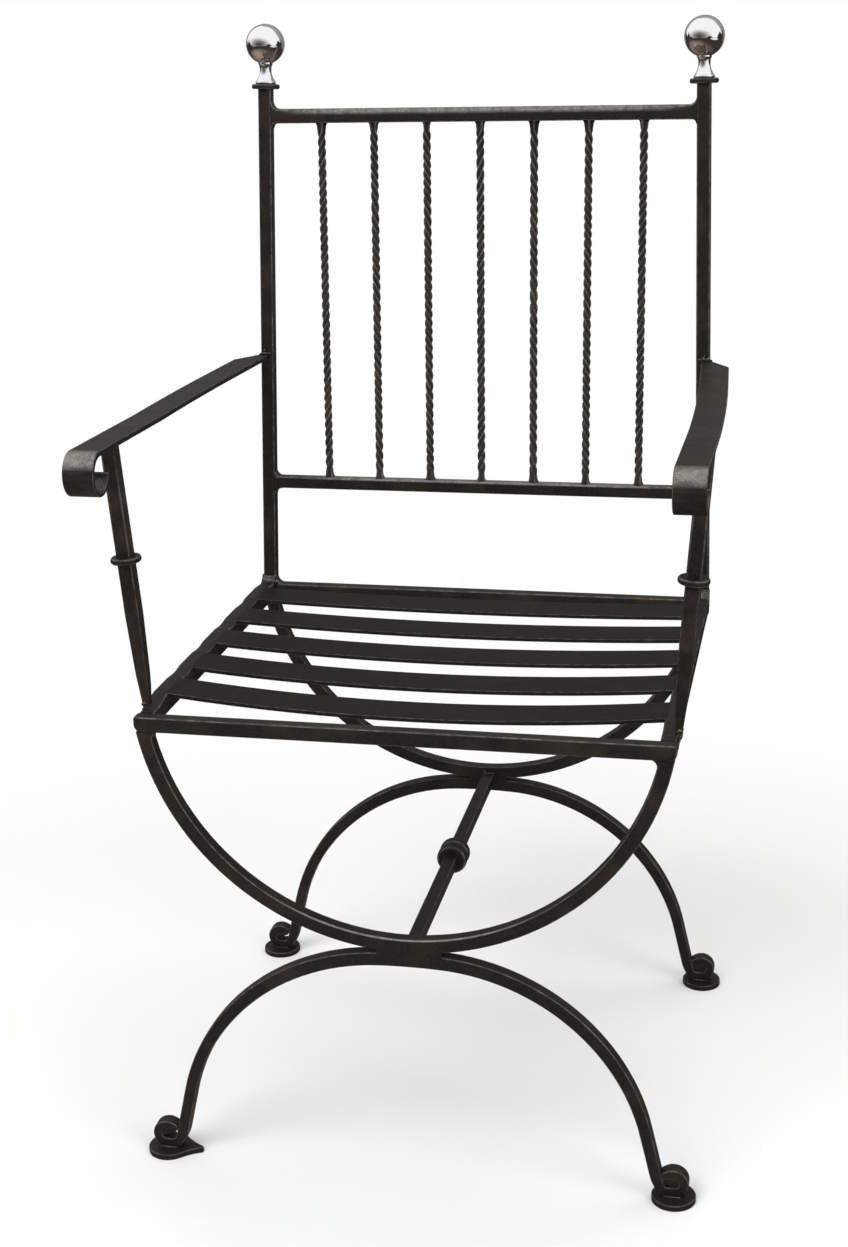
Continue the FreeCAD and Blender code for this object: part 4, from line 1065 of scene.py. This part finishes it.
# %% A ground card
GROUND_HALF, GROUND_UP = 6.5, 0.0002
GLADE_HEART, GLADE_NEAR, GLADE_FAR = (-0.9, -0.2, 0.0), 0.3, 2.6
PATIO_HEART, PATIO_HALF, PATIO_EDGE = (4.6, -1.9, 0.0), 1.9, 2.2


def card(name, points, faces):
    """A glowing card that only reflections can see: its node tree, its glow and its points' places."""
    piece = new_object(name, new_mesh(name, points, faces=faces))
    material, tree, glow, place = new_material(name, "Emission")
    piece.data.materials.append(material)
    piece.visible_camera = False
    piece.visible_diffuse = False
    piece.visible_shadow = False
    piece.visible_transmission = False
    return tree, glow, place


tree, glow, place = card("ground_card", level_square(GROUND_HALF, GROUND_UP), ONE_FACE)
from_glade = add(tree, "VectorMath", operation="DISTANCE", i0=place, i1=GLADE_HEART)
leaves = add(tree, "TexNoise", Vector=place, Scale=0.5, Detail=1.0)
glade = add(tree, "Math", operation="MULTIPLY_ADD", i0=leaves, i1=0.6, i2=from_glade)
glade = add(tree, "MapRange", Value=glade, From_Min=GLADE_NEAR, From_Max=GLADE_FAR)
soil = add(tree, "ValToRGB", [(0.12, linear("#9b8b7d")), (0.85, linear("#3a332f"))], Fac=glade)
from_patio = add(tree, "VectorMath", operation="DISTANCE", i0=place, i1=PATIO_HEART)
patio = add(tree, "MapRange", Value=from_patio, From_Min=PATIO_EDGE, From_Max=PATIO_HALF)
paved = add(tree, "Mix", data_type="RGBA", i0=patio, i6=soil, i7=linear("#f4f3f2"))
wire(tree, glow, Color=paved)
print("ground card", 2 * GROUND_HALF, "metres wide")

# %% [markdown]
# Behind the chair stands a grey wall, darker towards its foot.

# %% A wall card
WALL_LEFT, WALL_RIGHT, WALL_BACK, WALL_TOP = -9, 7, 3.5, 7
WALL_SHADE = 5.0

tree, glow, place = card("garden_wall_card", [
    (WALL_LEFT, WALL_BACK, 0), (WALL_RIGHT, WALL_BACK, 0),
    (WALL_RIGHT, WALL_BACK, WALL_TOP), (WALL_LEFT, WALL_BACK, WALL_TOP),
], ONE_FACE)
height = add(tree, "SeparateXYZ", Vector=place).outputs["Z"]
height = add(tree, "MapRange", Value=height, From_Min=0.0, From_Max=WALL_SHADE)
stone = add(tree, "ValToRGB", [(0.15, linear("#7b7876")), (0.80, linear("#a3a09d"))], Fac=height)
wire(tree, glow, Color=stone)
print("wall", WALL_RIGHT - WALL_LEFT, "metres long")

# %% [markdown]
# In front, bright haze hangs over the glade. Its card is part of a dome, and its colour depends
# on the direction in which a ball sees it: dark in the heart of the trees, and white beyond.

# %% A haze card
CLOUD_RADIUS = 5.6
CLOUD_HEART = Vector((-0.40, -0.915, 0.0))
CLOUD_FLATTENING = (0.7, 0.7, 1.35)
BALLS = (0.0, 0.24, 1.0)
DOME_STARTS, DOME_STEP, DOME_COLUMNS = 115, 5, 43
DOME_LIFT, DOME_ROWS = 6, 13
DOME_UP, DOME_SUNK = 1.0, -0.9

dome_points, dome_faces = [], []
for row in range(DOME_ROWS):
    for column in range(DOME_COLUMNS):
        bearing, lift = math.radians(DOME_STARTS + column * DOME_STEP), math.radians(row * DOME_LIFT)
        out = CLOUD_RADIUS * math.cos(lift)
        height = CLOUD_RADIUS * math.sin(lift) + (DOME_UP if row else DOME_SUNK)
        dome_points.append((out * math.cos(bearing), out * math.sin(bearing), height))
        if row and column:
            corner = row * DOME_COLUMNS + column
            below = corner - DOME_COLUMNS
            dome_faces.append((corner, corner - 1, below - 1, below))
tree, glow, place = card("haze_card", dome_points, dome_faces)
towards = add(tree, "VectorMath", operation="SUBTRACT", i0=place, i1=BALLS)
towards = add(tree, "VectorMath", operation="NORMALIZE", i0=towards)
off_heart = add(tree, "VectorMath", operation="SUBTRACT", i0=towards, i1=CLOUD_HEART)
off_heart = add(tree, "VectorMath", operation="MULTIPLY", i0=off_heart, i1=CLOUD_FLATTENING)
off_heart = add(tree, "VectorMath", operation="LENGTH", i0=off_heart)
cloud = add(tree, "ValToRGB", [
    (0.12, linear("#524b46")), (0.42, linear("#8b8886")), (0.68, linear("#d9d7d6")), (0.86, WHITE),
], Fac=off_heart)
wire(tree, glow, Color=cloud)
print("haze in", len(dome_faces), "faces")

# %% [markdown]
# A dark hedge closes the garden all round. It opens towards the glade and the patio, and its top
# is uneven, coarsely by whole bushes and finely by their twigs.

# %% A hedge card
HEDGE_RADIUS = 5.2
HEDGE_STEPS = 120
HEDGE_FOOT, HEDGE_HEIGHT = -0.3, 2.4
LOWEST_HEDGE = 0.05
BUSHES, BUSH_HEIGHT = 4, 1.3
TWIGS, TWIG_HEIGHT = 14, 0.9
OPENINGS = ((CLOUD_HEART.xy, 0.9), (Vector((0.92, -0.39)), 0.12))

hedge_points, hedge_faces = [], []
for step in range(HEDGE_STEPS):
    bearing = 2 * math.pi * step / HEDGE_STEPS
    spoke = Vector((math.cos(bearing), math.sin(bearing)))
    grown = min(clamped((1.0 - spoke.dot(towards)) / width) for towards, width in OPENINGS)
    bushes = BUSH_HEIGHT * noise.noise(Vector((spoke.x * BUSHES, spoke.y * BUSHES, 5.0)))
    twigs = TWIG_HEIGHT * noise.noise(Vector((spoke.x * TWIGS, spoke.y * TWIGS, 9.0)))
    top = HEDGE_FOOT + (HEDGE_HEIGHT + bushes + twigs) * grown
    for height in (0.0, max(top, LOWEST_HEDGE)):
        hedge_points.append((HEDGE_RADIUS * spoke.x, HEDGE_RADIUS * spoke.y, height))
    here, after = 2 * step, 2 * ((step + 1) % HEDGE_STEPS)
    hedge_faces.append((here, after, after + 1, here + 1))
tree, glow, place = card("hedge_card", hedge_points, hedge_faces)
wire(tree, glow, Color=linear("#2f2e2b"))
print("hedge in", len(hedge_faces), "faces")

# %% [markdown]
# Soft lamps light the chair from the upper left, the right and above. Reflections don't show
# them, because the real balls mirror no lamp.

# %% Lamps
LAMPS = (
    ("key_softbox", (-1.2, -2.2, 3.0), (0, 0, 0.5), (2.2, 1.6), 84, "#ffffff"),
    ("fill_softbox", (2.6, -1.6, 2.2), (0, 0, 0.5), (1.8, 1.4), 40, "#f4f7ff"),
    ("top_softbox", (0.3, 1.2, 3.2), (0, 0.1, 0.8), (2.4, 1.4), 34, "#fffaf2"),
)

for name, place, aim, size, power, colour in LAMPS:
    lamp = bpy.data.lights.new(name, "AREA")
    lamp.shape = "RECTANGLE"
    lamp.size, lamp.size_y = size
    lamp.energy = power
    lamp.color = linear(colour)[:3]
    softbox = new_object(name, lamp)
    softbox.location = place
    softbox.rotation_euler = (Vector(aim) - Vector(place)).to_track_quat("-Z", "Y").to_euler()
    softbox.visible_glossy = False
print("lamps", len(LAMPS))
